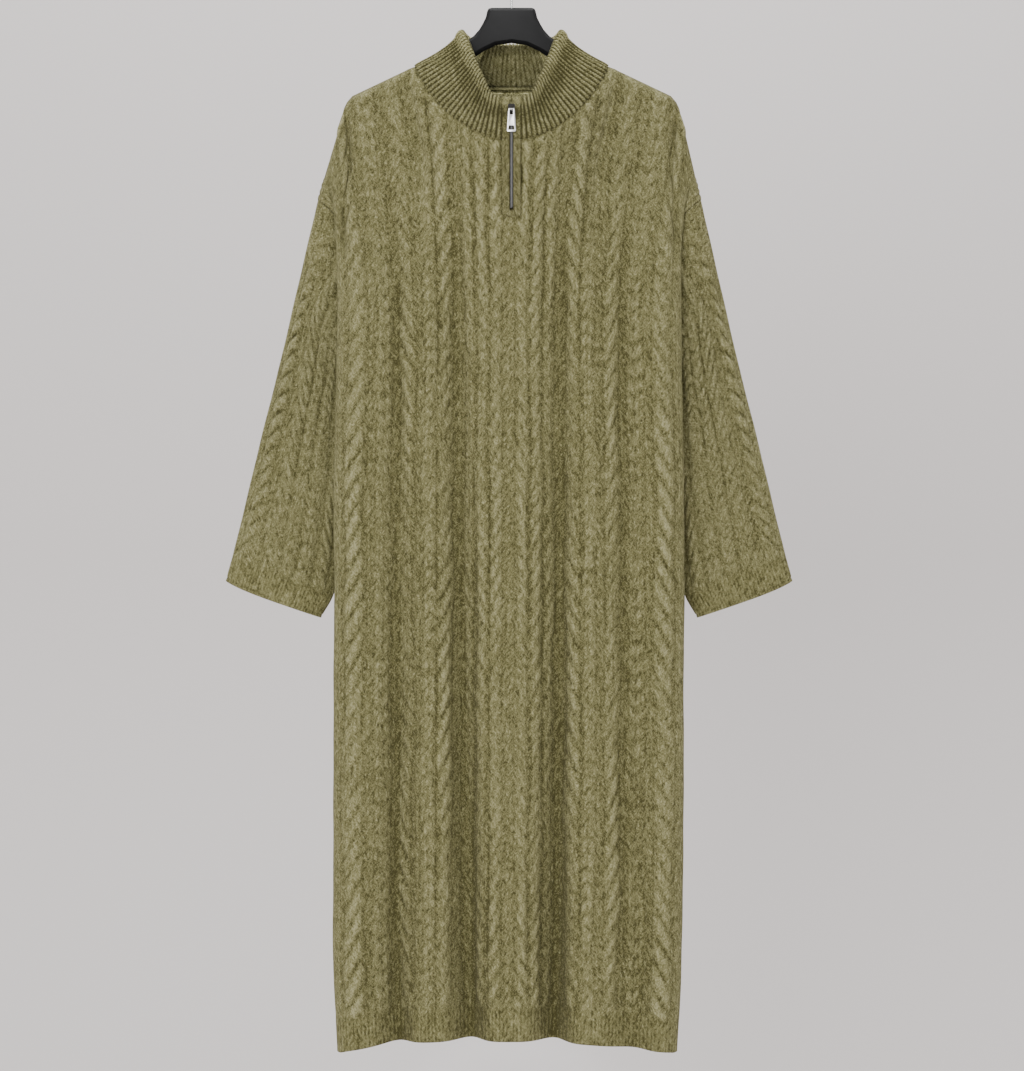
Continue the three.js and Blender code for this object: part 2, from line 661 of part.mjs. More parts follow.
function sleeve(side) {
  const columns = SLEEVE_PLAIN.map((at) => ({ at, crest: 0, turn: 0 }));
  SLEEVE_CABLES.forEach((c) => {
    columns.push({ at: c.at - c.width / 4, crest: 1, turn: c.turn });
    if (c.width) columns.push({ at: c.at + c.width / 4, crest: 2, turn: c.turn });
  });
  columns.sort((a, b) => a.at - b.at);
  const bandShare = 1 - CUFF_BAND / SLEEVE_LENGTH;
  const first = SLEEVE_FIRST_CABLE;
  const steps = Math.round((SLEEVE_LENGTH * (bandShare - first)) / (SLEEVE_TURN / 2));
  const cabled = (crest) => {
    const rows = [{ k: 0, raise: 0 }];
    for (let i = 0; i <= steps; i += 1)
      rows.push({ k: lerp(first, bandShare, i / steps), raise: i === steps ? 0 : (i + crest) % 2 ? 1 : 2 });
    return [...rows, { k: 1, raise: 0 }];
  };
  const plainRows = [0, 0.05, 0.12, 0.22, 0.4, 0.6, 0.8, bandShare, 1].map((k) => ({ k, raise: 0 }));
  const build = (list, rowsOf, depth) =>
    list
      .map((c) => ({
        s: side > 0 ? c.at : 1 - c.at,
        slash: c.turn * side,
        rows: rowsOf(c).map((r) => {
          const p = sleeveBlend(r.k, c.at, side, depth);
          const lift = r.raise === 2 ? CABLE_RAISE : r.raise === 1 ? CABLE_LOW : 0;
          if (lift) p.addScaledVector(sleeveNormal(r.k, c.at, side), lift);
          return { k: 1 - r.k, p };
        }).reverse(),
      }))
      .sort((a, b) => a.s - b.s);
  const outer = build(columns, (c) => (c.crest ? cabled(c.crest) : plainRows), 0);
  const insideRows = [0, 0.12, 0.22, 0.5, 0.8, 1].map((k) => ({ k, raise: 0 }));
  const inner = build(SLEEVE_PLAIN.map((at) => ({ at, crest: 0, turn: 0 })), () => insideRows, WALL);
  return wallGeometry(outer, inner, true);
}

// Joins and cuts of closed meshes
function toSolid(geometry) {
  const bare = geometry.clone();
  bare.deleteAttribute("normal");
  bare.deleteAttribute("uv");
  const merged = mergeVertices(bare, 1e-4);
  const vertProperties = new Float32Array(merged.getAttribute("position").array);
  const triVerts = new Uint32Array(merged.index.array);
  return new wasm.Manifold(new wasm.Mesh({ numProp: 3, vertProperties, triVerts }));
}

function toGeometry(solid) {
  const mesh = solid.getMesh();
  const geometry = new THREE.BufferGeometry();
  geometry.setAttribute("position", new THREE.Float32BufferAttribute(mesh.vertProperties, 3));
  geometry.setIndex([...mesh.triVerts]);
  geometry.computeVertexNormals();
  return geometry;
}

function cut(geometry, ...tools) {
  return toGeometry(tools.reduce((left, tool) => left.subtract(toSolid(tool)), toSolid(geometry)));
}

function join(...parts) {
  return toGeometry(parts.map(toSolid).reduce((a, b) => a.add(b)));
}

function box(width, depth, height, x, y, z) {
  return new THREE.BoxGeometry(width, depth, height).translate(x, y, z);
}

// The front's outline at the middle, from the collar down the placket
function frontLineY(z) {
  const neckZ = NECK_POINT_Z - NECK_FRONT_DROP;
  if (z >= neckZ) {
    const v = clamp((z - neckZ) / (COLLAR_TOP[0].z - neckZ), 0, 1);
    return lerp(-NECK_FRONT_Y, COLLAR_TOP[0].y, v) - 3 * Math.sin(Math.PI * v) - 0.6;
  }
  const t = (z - UNDERARM_Z) / (neckZ - UNDERARM_Z);
  return upperPoint(0, clamp(t, 0, 1), true).y;
}

function buildFront() {
  const slot = box(2 * SLOT_HALF, 60, 200, 0, -60, ZIP_BOTTOM_Z + 100);
  return cut(panel(true), slot);
}

// The collar's halves are open over the zip, and only just apart above the slider
function buildCollar() {
  const slot = box(2 * SLOT_HALF, 60, 140, 0, -60, SLIT_BOTTOM_Z - 70);
  const slit = box(SLIT, 60, 60, 0, -50, SLIT_BOTTOM_Z + 29);
  return cut(collar(), slot, slit);
}

// The plain outer face of the front beside the zip, from the columns of points on both sides of it
const zipColumns = [0, 13].map((flat) =>
  columnRows(flat, 0, true, false)
    .filter((r) => r.k >= 1)
    .map((r) => panelPoint(flat, r.k, true)),
);
function frontFaceY(x, z) {
  const [a, b] = zipColumns.map((points) => ({
    x: lineAt(points, "z", z, "x"),
    y: lineAt(points, "z", z, "y"),
  }));
  return lerp(a.y, b.y, Math.abs(x - a.x) / (b.x - a.x));
}

// A flat strip of cloth or tape facing front, from columns of points and the depths of its two faces
function strip(columns, frontY, backY) {
  const side = (depth) =>
    columns.map((c) => {
      const rows = c.heights.map((z, k) => ({ k, p: vec(c.x, depth(c.x, z), z) }));
      return { s: c.x, slash: 0, rows };
    });
  return wallGeometry(side(frontY), side(backY), false);
}

// Placket: a band round the slot with rounded lower corners
function placket() {
  const heights = (bottom) => [bottom, -346, -330, -314.5, -293, -272, -260.5, PLACKET_TOP_Z];
  const columns = [-PLACKET_HALF, -PLACKET_HALF + 2.5, 0, PLACKET_HALF - 2.5, PLACKET_HALF].map((x) => ({
    x,
    heights: heights(Math.abs(x) === PLACKET_HALF ? PLACKET_BOTTOM_Z + 2.5 : PLACKET_BOTTOM_Z),
  }));
  const band = strip(
    columns,
    (x, z) => frontFaceY(x, z) - PLACKET_LIFT - PLACKET_RAISE,
    (x, z) => frontFaceY(x, z) - PLACKET_LIFT,
  );
  const slot = box(2 * SLOT_HALF + 0.4, 60, 100, 0, -60, ZIP_BOTTOM_Z + 49);
  return cut(band, slot);
}

// Closed teeth on their tape, in the slot from the slider down
function zipChain() {
  const heights = [ZIP_BOTTOM_Z + 2, -330, -314.5, -293, -272, -256, -245, -234, CHAIN_TOP_Z];
  const columns = [-CHAIN_HALF, CHAIN_HALF].map((x) => ({ x, heights }));
  const face = (x, z) => frontLineY(z) - CHAIN_PROUD;
  return strip(columns, face, (x, z) => face(x, z) + CHAIN_DEPTH);
}

// The slider's frame: on the collar's raised band, its back towards the band
const bandLow = collarColumn(0).at(0.45, COLLAR_PROUD + PLACKET_RAISE);
const bandHigh = collarColumn(0).at(0.9, COLLAR_PROUD + PLACKET_RAISE);
const bandTilt = -Math.atan2(bandHigh.y - bandLow.y, bandHigh.z - bandLow.z);
const sliderShare = (SLIDER_Z - bandLow.z) / (bandHigh.z - bandLow.z);
const sliderPlace = bandLow.clone().lerp(bandHigh, sliderShare).setX(0);
const onBand = (geometry) => geometry.rotateX(bandTilt).translate(0, sliderPlace.y, sliderPlace.z);

// A plate with an outline in the XZ plane, between two depths
function plate(points, holes, frontY, depth) {
  const shape = new THREE.Shape(points.map(([x, z]) => new THREE.Vector2(x, z)));
  holes.forEach((hole) => shape.holes.push(new THREE.Path(hole.map(([x, z]) => new THREE.Vector2(x, z)))));
  const solid = new THREE.ExtrudeGeometry(shape, { depth, bevelEnabled: false });
  return solid.rotateX(Math.PI / 2).translate(0, frontY + depth, 0);
}

// A rectangle with rounded corners, given by its sides and a width at the top and at the bottom
function roundedSides(topHalf, bottomHalf, top, bottom, radius) {
  const corners = [
    { x: bottomHalf, z: bottom, from: -90 },
    { x: topHalf, z: top, from: 0 },
    { x: -topHalf, z: top, from: 90 },
    { x: -bottomHalf, z: bottom, from: 180 },
  ];
  return corners.flatMap((c) =>
    [0, 45, 90].map((turn) => {
      const a = THREE.MathUtils.degToRad(c.from + turn);
      const x = c.x - Math.sign(c.x) * radius + radius * Math.cos(a);
      const z = c.z + (c.z === top ? -radius : radius) + radius * Math.sin(a);
      return [x, z];
    }),
  );
}

function zipSlider() {
  const back = -SLIDER.lift;
  const face = back - SLIDER.depth;
  const body = plate(
    roundedSides(SLIDER.topHalf, SLIDER.bottomHalf, SLIDER.top, SLIDER.bottom, SLIDER_CORNER),
    [],
    face,
    SLIDER.depth,
  );
  const neck = box(SLIDER.neckWidth, 3, 8, 0, back + 1.2, 0);
  const reach = BRIDGE.opening + BRIDGE.wall;
  const tall = BRIDGE.top - BRIDGE.bottom;
  const middle = (BRIDGE.top + BRIDGE.bottom) / 2;
  const arch = box(BRIDGE.width, reach + 0.4, tall, 0, face - reach / 2 + 0.2, middle);
  const hole = box(6, BRIDGE.opening, tall - 2 * BRIDGE.wall, 0, face - BRIDGE.opening / 2, middle);
  return onBand(cut(join(body, neck, arch), hole));
}

// Pull tab: a flat plate with two windows that hangs on a bar through the slider's bridge
function zipPull() {
  const tab = plate(
    roundedSides(PULL.topHalf, PULL.bottomHalf, PULL.barRadius * 0.7, -PULL.length, 1.8),
    [
      roundedSides(PULL.slotHalf, PULL.slotHalf, -PULL.barRadius * 0.7, -PULL.slotEnd, 0.8),
      roundedSides(PULL.windowHalf, PULL.windowHalf + 0.5, PULL.windowTop, PULL.windowBottom, 1.2),
    ],
    -PULL.depth / 2,
    PULL.depth,
  );
  const bar = new THREE.CylinderGeometry(PULL.barRadius, PULL.barRadius, 2 * PULL.topHalf - 1.4, 12);
  bar.rotateZ(Math.PI / 2);
  const pivot = vec(0, -PIVOT.out, PIVOT.up).applyAxisAngle(vec(1, 0, 0), bandTilt);
  pivot.add(vec(0, sliderPlace.y, sliderPlace.z));
  return join(tab, bar).rotateX(-THREE.MathUtils.degToRad(PULL.lean)).translate(0, pivot.y, pivot.z);
}

// Hanger body: one side of its outline from the top middle, round the tip and back to the arch
const HANGER_SIDE = [
  { x: 26, z: -75 },
  { x: 29.8, z: -76.2 },
  { x: 31.5, z: -79.5 },
  { x: 33.5, z: -88 },
  { x: 37.5, z: -96 },
  { x: 42, z: -103.6 },
  { x: 49, z: -111.5 },
  { x: 59, z: -119 },
  { x: 80, z: -131.5 },
  { x: 104, z: -147 },
  { x: 124, z: -155 },
  { x: 165, z: -173.6 },
  { x: 197, z: -190 },
  { x: 204.5, z: -195.2 },
  { x: 208, z: -200 },
  { x: 208, z: -206.5 },
  { x: 205, z: -211.5 },
  { x: 199, z: -212 },
  { x: 160, z: -199 },
  { x: 124, z: -184 },
  { x: 85, z: -160 },
  { x: 49, z: -140 },
  { x: 36, z: -131 },
  { x: 20, z: -123.4 },
  { x: 0, z: -120.5 },
];

function hanger() {
  const side = HANGER_SIDE.map((r) => new THREE.Vector2(r.x, r.z));
  const other = HANGER_SIDE.slice(0, -1).map((r) => new THREE.Vector2(-r.x, r.z)).reverse();
  const straight = 2 * HANGER_RIM;
  const body = new THREE.ExtrudeGeometry(new THREE.Shape([...side, ...other]), {
    depth: straight,
    bevelThickness: HANGER_HALF - HANGER_RIM,
    bevelSize: HANGER_BEVEL,
    bevelOffset: -HANGER_BEVEL,
    bevelSegments: 1,
  });
  body.rotateX(Math.PI / 2).translate(0, HANGER_RIM, 0);
  const boreRadius = WIRE_RADIUS + BORE_PLAY;
  const bore = new THREE.CylinderGeometry(boreRadius, boreRadius, 2 * BORE_HALF, 12).rotateX(Math.PI / 2);
  return cut(body, bore.translate(0, 0, HOOK_END_Z - BORE_PLAY + BORE_HALF));
}

// A round wire along a path in the XZ plane, with closed ends
function wire(path, radius, sides) {
  const points = [];
  const faces = [];
  const at = (ring, k) => ring * sides + (k % sides);
  path.forEach((p, i) => {
    const along = path[Math.min(i + 1, path.length - 1)].clone().sub(path[Math.max(i - 1, 0)]).normalize();
    for (let k = 0; k < sides; k += 1) {
      const a = (2 * Math.PI * (k + 0.5)) / sides;
      const c = radius * Math.cos(a);
      points.push(vec(p.x + along.z * c, radius * Math.sin(a), p.z - along.x * c));
      if (i < path.length - 1) {
        faces.push([at(i, k), at(i, k + 1), at(i + 1, k + 1)], [at(i, k), at(i + 1, k + 1), at(i + 1, k)]);
      }
    }
  });
  const last = path.length - 1;
  for (let k = 1; k < sides - 1; k += 1) {
    faces.push([at(0, 0), at(0, k + 1), at(0, k)]);
    faces.push([at(last, 0), at(last, k), at(last, k + 1)]);
  }
  const geometry = new THREE.BufferGeometry();
  const positions = points.flatMap((p) => p.toArray());
  geometry.setAttribute("position", new THREE.Float32BufferAttribute(positions, 3));
  geometry.setIndex(faces.flat());
  geometry.computeVertexNormals();
  return geometry;
}

// Hook: up from its bore, a bend to the side, and round over the rail to an open end
function hook() {
  const middle = WIRE_RADIUS - HOOK_RADIUS;
  const path = [vec(0, 0, HOOK_END_Z), vec(0, 0, -70), vec(0, 0, -60), vec(1.2, 0, -54), vec(5, 0, -48)];
  const steps = 22;
  for (let i = 0; i <= steps; i += 1) {
    const a = THREE.MathUtils.degToRad(lerp(-50, 200, i / steps));
    path.push(vec(HOOK_RADIUS * Math.cos(a), 0, middle + HOOK_RADIUS * Math.sin(a)));
  }
  return wire(path, WIRE_RADIUS, 8);
}

const garment = new THREE.Group();
function add(name, geometry, material) {
  const mesh = new THREE.Mesh(geometry, material);
  mesh.name = name;
  garment.add(mesh);
}

add("front", buildFront(), knit);
add("back", panel(false), knit);
add("sleeve_left", sleeve(1), knit);
add("sleeve_right", sleeve(-1), knit);
add("collar", buildCollar(), knit);
add("placket", placket(), knit);
add("zip_chain", zipChain(), teeth);
add("zip_slider", zipSlider(), chrome);
add("zip_pull", zipPull(), chrome);
add("hanger", hanger(), plastic);
add("hook", hook(), chrome);

export default garment;
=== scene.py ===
# %% [markdown]
# # A cable-knit sweater dress on its hanger
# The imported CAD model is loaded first. Each of its solids then gets a finished piece in the same place: a
# fine knitted shell for the cloth, rows of teeth for the zip, and rounded plastic and wire for the hanger.

# %% Load the frame
import math

import bpy
import numpy as np
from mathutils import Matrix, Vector


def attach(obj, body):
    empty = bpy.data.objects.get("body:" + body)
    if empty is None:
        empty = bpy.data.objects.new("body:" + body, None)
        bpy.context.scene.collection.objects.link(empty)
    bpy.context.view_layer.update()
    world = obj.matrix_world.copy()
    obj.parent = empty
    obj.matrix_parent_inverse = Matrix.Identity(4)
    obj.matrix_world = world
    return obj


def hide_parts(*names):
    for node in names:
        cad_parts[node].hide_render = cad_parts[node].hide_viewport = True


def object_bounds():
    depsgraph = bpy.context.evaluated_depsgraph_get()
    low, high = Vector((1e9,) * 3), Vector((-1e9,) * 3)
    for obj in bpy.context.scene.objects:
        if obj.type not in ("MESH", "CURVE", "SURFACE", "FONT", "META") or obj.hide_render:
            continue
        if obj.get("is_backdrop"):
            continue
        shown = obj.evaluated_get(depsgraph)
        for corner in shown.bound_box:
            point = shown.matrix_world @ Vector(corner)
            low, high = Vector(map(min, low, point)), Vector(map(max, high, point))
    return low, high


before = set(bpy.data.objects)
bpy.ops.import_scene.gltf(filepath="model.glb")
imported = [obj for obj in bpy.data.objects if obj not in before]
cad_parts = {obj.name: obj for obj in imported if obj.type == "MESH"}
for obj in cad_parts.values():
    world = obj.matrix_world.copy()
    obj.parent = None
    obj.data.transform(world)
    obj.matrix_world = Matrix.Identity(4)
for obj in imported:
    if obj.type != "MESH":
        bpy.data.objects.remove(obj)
cad_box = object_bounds()
MM = 0.001
print("nodes", sorted(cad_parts))

# %% [markdown]
# The camera stands three metres in front of the dress, level with its middle. A long lens from far away
# keeps the sides of a tall garment straight, as a catalogue picture does.

# %% Camera
CAMERA_AWAY = 3.0
CAMERA_X, CAMERA_Z = 0.0007, -0.7607
VIEW_HEIGHT = 1.392
lens_camera = bpy.data.cameras.new("camera")
lens_camera.sensor_fit = "VERTICAL"
lens_camera.sensor_height = 24.0
lens_camera.lens = 24.0 * CAMERA_AWAY / VIEW_HEIGHT
camera = bpy.data.objects.new("camera", lens_camera)
bpy.context.scene.collection.objects.link(camera)
camera.location = (CAMERA_X, -CAMERA_AWAY, CAMERA_Z)
camera.rotation_euler = (math.radians(90), 0, 0)
bpy.context.scene.camera = camera
print("lens", round(lens_camera.lens, 1))

# %% [markdown]
# A pattern cutter works from tables: how wide and how deep the body is at each height, where the shoulder
# runs, where the folds fall. The shells repeat the sizes of the CAD solids, in millimetres, so that each
# shell lies in its solid's place.

# %% Sizes of the cloth
FACE, TURN, SEAM, CORNER, EDGE_Y, SEAM_Y, BACK_FACE = 190, 236, 266, 34, -22, 10, 206
NECK_FLAT, NECK_HALF, NECK_Z = 106, 124, -150
NECK_FRONT_DROP, NECK_BACK_DROP, NECK_FRONT_Y, NECK_BACK_Y = 106, 18, 62, 46
UNDERARM_Z = -490
LOWER_LENGTH = 920
WALL = 2.6
HEM_BAND = 42
CUFF_BAND = 40
BODY = {
    "z": [-1430, -1300, -930, -832, -700, -600, -490],
    "half": [219, 225, 226, 226, 226, 224, 222],
    "seam": [219, 225, 225, 218, 206, 199, 197],
    "front": [47, 46, 44, 43, 42, 42, 42],
    "back": [46, 45, 43, 42, 42, 42, 42],
}
SHOULDER = {"flat": [106, 170, 178, 184, 194, 266], "x": [124, 207, 214, 218, 221.5, 249],
            "z": [-150, -189.5, -197.5, -206, -221, -325]}
SWAY = {"z": [-1430, -900, -330, -225, 0], "x": [-5.5, -3.2, -2.6, 0, 0]}
# Each fold: where its valley is at the underarm and at the hem, its depth at both, and its width
FRONT_FOLDS = [(-141, -139, 12, 27, 20), (-67, -46, 14, 33, 20), (68, 61, 12, 35, 20), (147, 163, 11, 15, 21)]
BACK_FOLDS = [(-118, -128, 6, 22, 26), (-24, -14, 5, 20, 24), (84, 100, 7, 24, 26)]


def smoothstep(v, low, high):
    t = np.clip((v - low) / (high - low), 0, 1)
    return t * t * (3 - 2 * t)


def bell(v):
    return np.exp(-v * v)


def mix(a, b, t):
    return a + (b - a) * t


def smooth_table(keys, values, at):
    """Reads a table with a smooth curve through its rows."""
    k, w = np.array(keys, float), np.array(values, float)
    last = len(k) - 1
    low, high = np.maximum(np.arange(last + 1) - 1, 0), np.minimum(np.arange(last + 1) + 1, last)
    slope = (w[high] - w[low]) / (k[high] - k[low])
    v = np.clip(at, k[0], k[-1])
    i = np.clip(np.searchsorted(k, v) - 1, 0, last - 1)
    span, rise = k[i + 1] - k[i], w[i + 1] - w[i]
    t = (v - k[i]) / span
    m0, m1 = slope[i] * span, slope[i + 1] * span
    return w[i] + m0 * t + (3 * rise - 2 * m0 - m1) * t**2 + (m0 + m1 - 2 * rise) * t**3


def swayed(points):
    points[..., 0] += smooth_table(SWAY["z"], SWAY["x"], points[..., 2])
    return points


# %% [markdown]
# A panel is a sheet with two directions: `flat`, how far a point is from the middle of the panel when it
# lies on the cutting table, and `q`, how high it is, from the hem at 0 to the underarm at 1 and the neck
# and shoulder at 2. One function says where each such point hangs.

# %% Where a point of the body hangs
def hem_height(x, front):
    if not front:
        return -1411 - 13 * (np.abs(x) / 219) ** 2
    return -1409 - 16 * (np.abs(x) / 219) ** np.where(x < 0, 4.0, 1.9)


def fold_depth(folds, x, z):
    down = np.clip((UNDERARM_Z - z) / LOWER_LENGTH, 0, 1)
    depth = 0
    for x0, x1, d0, d1, w in folds:
        off = x - mix(x0, x1, down)
        depth = depth + mix(d0, d1, down) * bell(off / np.where(off < 0, 1.2 * w, 0.85 * w))
    return depth


def lower_body(flat, z, front):
    side, m = np.where(flat < 0, -1.0, 1.0), np.abs(flat)
    half = smooth_table(BODY["z"], BODY["half"], z)
    seam = smooth_table(BODY["z"], BODY["seam"], z)
    depth = smooth_table(BODY["z"], BODY["front" if front else "back"], z)
    face, end, reach, edge = (FACE, TURN, half, -EDGE_Y) if front else (BACK_FACE, SEAM, seam, SEAM_Y)
    turned = np.clip((m - face) / (end - face), 0, 1) * math.pi / 2
    x = np.where(m <= face, m * (reach - CORNER) / face, reach - CORNER + CORNER * np.sin(turned))
    y = edge + (depth - edge) * np.cos(turned)
    folds = FRONT_FOLDS if front else BACK_FOLDS
    y = y - (1 - smoothstep(m, face - 12, end)) * fold_depth(folds, side * x, z)
    if front:
        u = (m - TURN) / (SEAM - TURN)
        x = np.where(m > TURN, half - (half - seam) * smoothstep(u, 0, 1), x)
        y = np.where(m > TURN, mix(EDGE_Y, SEAM_Y, u), -y)
    return np.stack([side * x, y, z], -1)


def top_edge(flat, front):
    side, m = np.where(flat < 0, -1.0, 1.0), np.abs(flat)
    sine = np.clip(m / NECK_FLAT, 0, 1)
    cosine = np.sqrt(1 - sine**2)
    on_neck = m <= NECK_FLAT
    x = np.where(on_neck, NECK_HALF * sine, np.interp(m, SHOULDER["flat"], SHOULDER["x"]))
    y = (-NECK_FRONT_Y if front else NECK_BACK_Y) * cosine
    drop = NECK_FRONT_DROP * cosine**1.6 if front else NECK_BACK_DROP * cosine
    z = np.where(on_neck, NECK_Z - drop, np.interp(m, SHOULDER["flat"], SHOULDER["z"]))
    return np.stack([side * x, np.where(on_neck, y, 0), z], -1)


def upper_body(flat, t, front):
    side, m = np.where(flat < 0, -1.0, 1.0), np.abs(flat)
    start, end = lower_body(flat, np.full_like(flat, UNDERARM_Z), front), top_edge(flat, front)
    lean = mix(1.5, 4.5 if front else 2.6, smoothstep(m, FACE, SEAM))
    down = (1 - t) * np.linalg.norm(start - end, axis=-1)
    round_at = lambda depth: np.sqrt(1 - (1 - np.clip(depth / 16, 0, 1)) ** 2)
    below = np.maximum(NECK_Z - end[..., 2], 0) * (m < NECK_FLAT)
    out = -1 if front else 1
    rounded = out * 14 * smoothstep(m, 90, NECK_FLAT) * (round_at(below + down) - round_at(below))
    x = mix(start[..., 0], end[..., 0], t**lean)
    spread = (1 - np.exp(-down / 6)) * (1 - smoothstep(down, 20, 120))
    x = x + side * 9 * bell((m - NECK_FLAT) / 18) * spread
    y = mix(end[..., 1] + rounded, start[..., 1], 1 - t)
    if front:
        valley = mix(212, 184, smoothstep(t, 0.3, 1))
        y = y + 9 * bell((m - valley) / 9) * smoothstep(t, 0.3, 0.5) * np.minimum(down / 24, 1)
    return np.stack([x, y, mix(start[..., 2], end[..., 2], t)], -1)


def body_point(flat, q, front):
    flat, q = np.broadcast_arrays(np.asarray(flat, float), np.asarray(q, float))
    hem = hem_height(np.clip(flat, -219, 219), front)
    low = lower_body(flat, mix(hem, UNDERARM_Z, np.clip(q, 0, 1)), front)
    high = upper_body(flat, np.clip(q - 1, 0, 1), front)
    return swayed(np.where((q > 1)[..., None], high, low))


# %% [markdown]
# A cable is a few columns of stitches that swap places every few rows, so its strands climb in slanting
# lobes with a groove between them. Each kind of cable is a small height pattern: `across` runs from -1 to 1
# over its width, `along` up the panel in millimetres, and `turn` says which way the strands lean.

# %% Cable patterns
def lobes(phase, number):
    """Crests of one strand after another, some higher and some lower, as hands pull them."""
    return np.abs(np.sin(math.pi * phase)) ** 0.75 * (0.8 + 0.3 * np.sin(12.9 * np.floor(phase) + number))


def rope(across, along, turn, period, number):
    inside = np.clip(1 - across**2, 0, 1)
    phase = along / period - 0.5 * turn * (across + 0.16 * np.sin(math.pi * across))
    return inside**0.85 * (0.10 + 0.90 * lobes(phase, number))


def loops(across, along, turn, period, number):
    inside = np.clip(1 - across**2, 0, 1)
    phase = along / period + 0.45 * turn * np.abs(across)
    middle_dip = 0.6 + 0.4 * np.minimum(np.abs(across) / 0.3, 1)
    return inside**0.7 * (0.10 + 0.90 * lobes(phase, number)) * middle_dip


# From the middle outwards: pattern, place, width, turn, rise between crossings, and height
BODY_CABLES = [
    (rope, 17, 16, -1, 27, 3.2),
    (rope, 34, 15, 1, 27, 3.2),
    (rope, 50, 13, 1, 29, 2.6),
    (rope, 82, 19, -1, 32, 4.0),
    (loops, 101, 17, 1, 19, 2.6),
    (rope, 131, 19, 1, 32, 3.8),
    (loops, 161, 20, -1, 21, 2.8),
    (rope, 196, 23, -1, 32.5, 4.8),
]
SLEEVE_CABLES = [
    (rope, 0.12, 0.055, 1, 26, 3.3),
    (loops, 0.19, 0.05, 1, 19, 2.8),
    (loops, 0.245, 0.042, -1, 19, 2.6),
    (rope, 0.298, 0.05, 1, 25, 3.6),
    (rope, 0.385, 0.07, -1, 25.5, 4.8),
]


def cable_height(cables, place, along, scale=1.0):
    """Height over the plain knit, in millimetres, and a soft dip beside each cable."""
    height = np.zeros_like(along)
    for i, (pattern, at, width, turn, period, rise) in enumerate(cables):
        wander = scale * (1.0 * np.sin(along / 61 + 2.1 * i) + 0.6 * np.sin(along / 23 + 1.3 * i))
        spread = 1 + 0.12 * np.sin(along / 37 + 1.7 * i)
        uneven = 9 * i + 2.5 * np.sin(along / 53 + i)
        across = (place - at - wander) / (spread * width / 2)
        height = height + rise * pattern(across, along + uneven, turn, period, i)
        height = height - 0.25 * bell((np.abs(across) - 1.15) / 0.25)
    return height


def softened(height, rounds=10):
    """The height with its fine form smoothed away."""
    for _ in range(rounds):
        padded = np.pad(height, 1, mode="edge")
        beside = padded[:-2, 1:-1] + padded[2:, 1:-1] + padded[1:-1, :-2] + padded[1:-1, 2:]
        height = (beside + height) / 5
    return height


def unevenness(a, b):
    """Hand-knit cloth is never quite even: slow swells of about half a millimetre."""
    wide = 0.30 * np.sin(a / 31 + b / 47)
    narrow = 0.22 * np.sin(a / 17 - b / 29 + 1)
    return wide + narrow + 0.16 * np.sin(b / 13 + a / 41 + 2)


# %% [markdown]
# The shell itself is a grid: the outer face has a vertex every two or three millimetres, enough for each
# strand, and the inner face, which only shows at the openings, has one for every fourth. The rim joins the
# two. Each vertex also keeps its place on the cutting table as a UV in metres, so that stitches follow the
# cloth, and a painted shade value, so that the wool is painted darker down between the cables and in the
# valleys of the folds, and lighter on the crests.

# %% Shell maker
def grid_normals(points):
    across, up = np.gradient(points, axis=1), np.gradient(points, axis=0)
    n = np.cross(across, up)
    return n / np.maximum(np.linalg.norm(n, axis=-1, keepdims=True), 1e-9)


def deselect_all():
    if bpy.context.object and bpy.context.object.mode != "OBJECT":
        bpy.ops.object.mode_set(mode="OBJECT")
    bpy.ops.object.select_all(action="DESELECT")


def piece_from(name, points, faces, uv=None, painted_shade=None, band=None):
    mesh = bpy.data.meshes.new(name)
    mesh.from_pydata((points * MM).tolist(), [], faces)
    volume = signed_volume(points, faces)
    if volume < 0:
        mesh.flip_normals()
    loop_vertex = np.zeros(len(mesh.loops), np.int32)
    mesh.loops.foreach_get("vertex_index", loop_vertex)
    if uv is not None:
        mesh.uv_layers.new(name="cloth").data.foreach_set("uv", (uv[loop_vertex] * MM).ravel())
    # The painted shade is kept per vertex for the wool's colour
    for label, values in (("painted_shade", painted_shade), ("band", band)):
        if values is not None:
            mesh.attributes.new(label, "FLOAT", "POINT").data.foreach_set("value", values.astype(np.float32))
    obj = bpy.data.objects.new(name, mesh)
    bpy.context.scene.collection.objects.link(obj)
    mesh.polygons.foreach_set("use_smooth", np.ones(len(mesh.polygons), bool))
    mesh.update()
    print(name, len(mesh.polygons), "faces")
    return obj


def signed_volume(points, faces):
    quads = np.array([[f[0], f[1], f[2], f[-1]] for f in faces])
    a, b, c, d = (points[quads[:, i]] for i in range(4))
    return float((a * np.cross(b, c)).sum() + (a * np.cross(c, d)).sum())


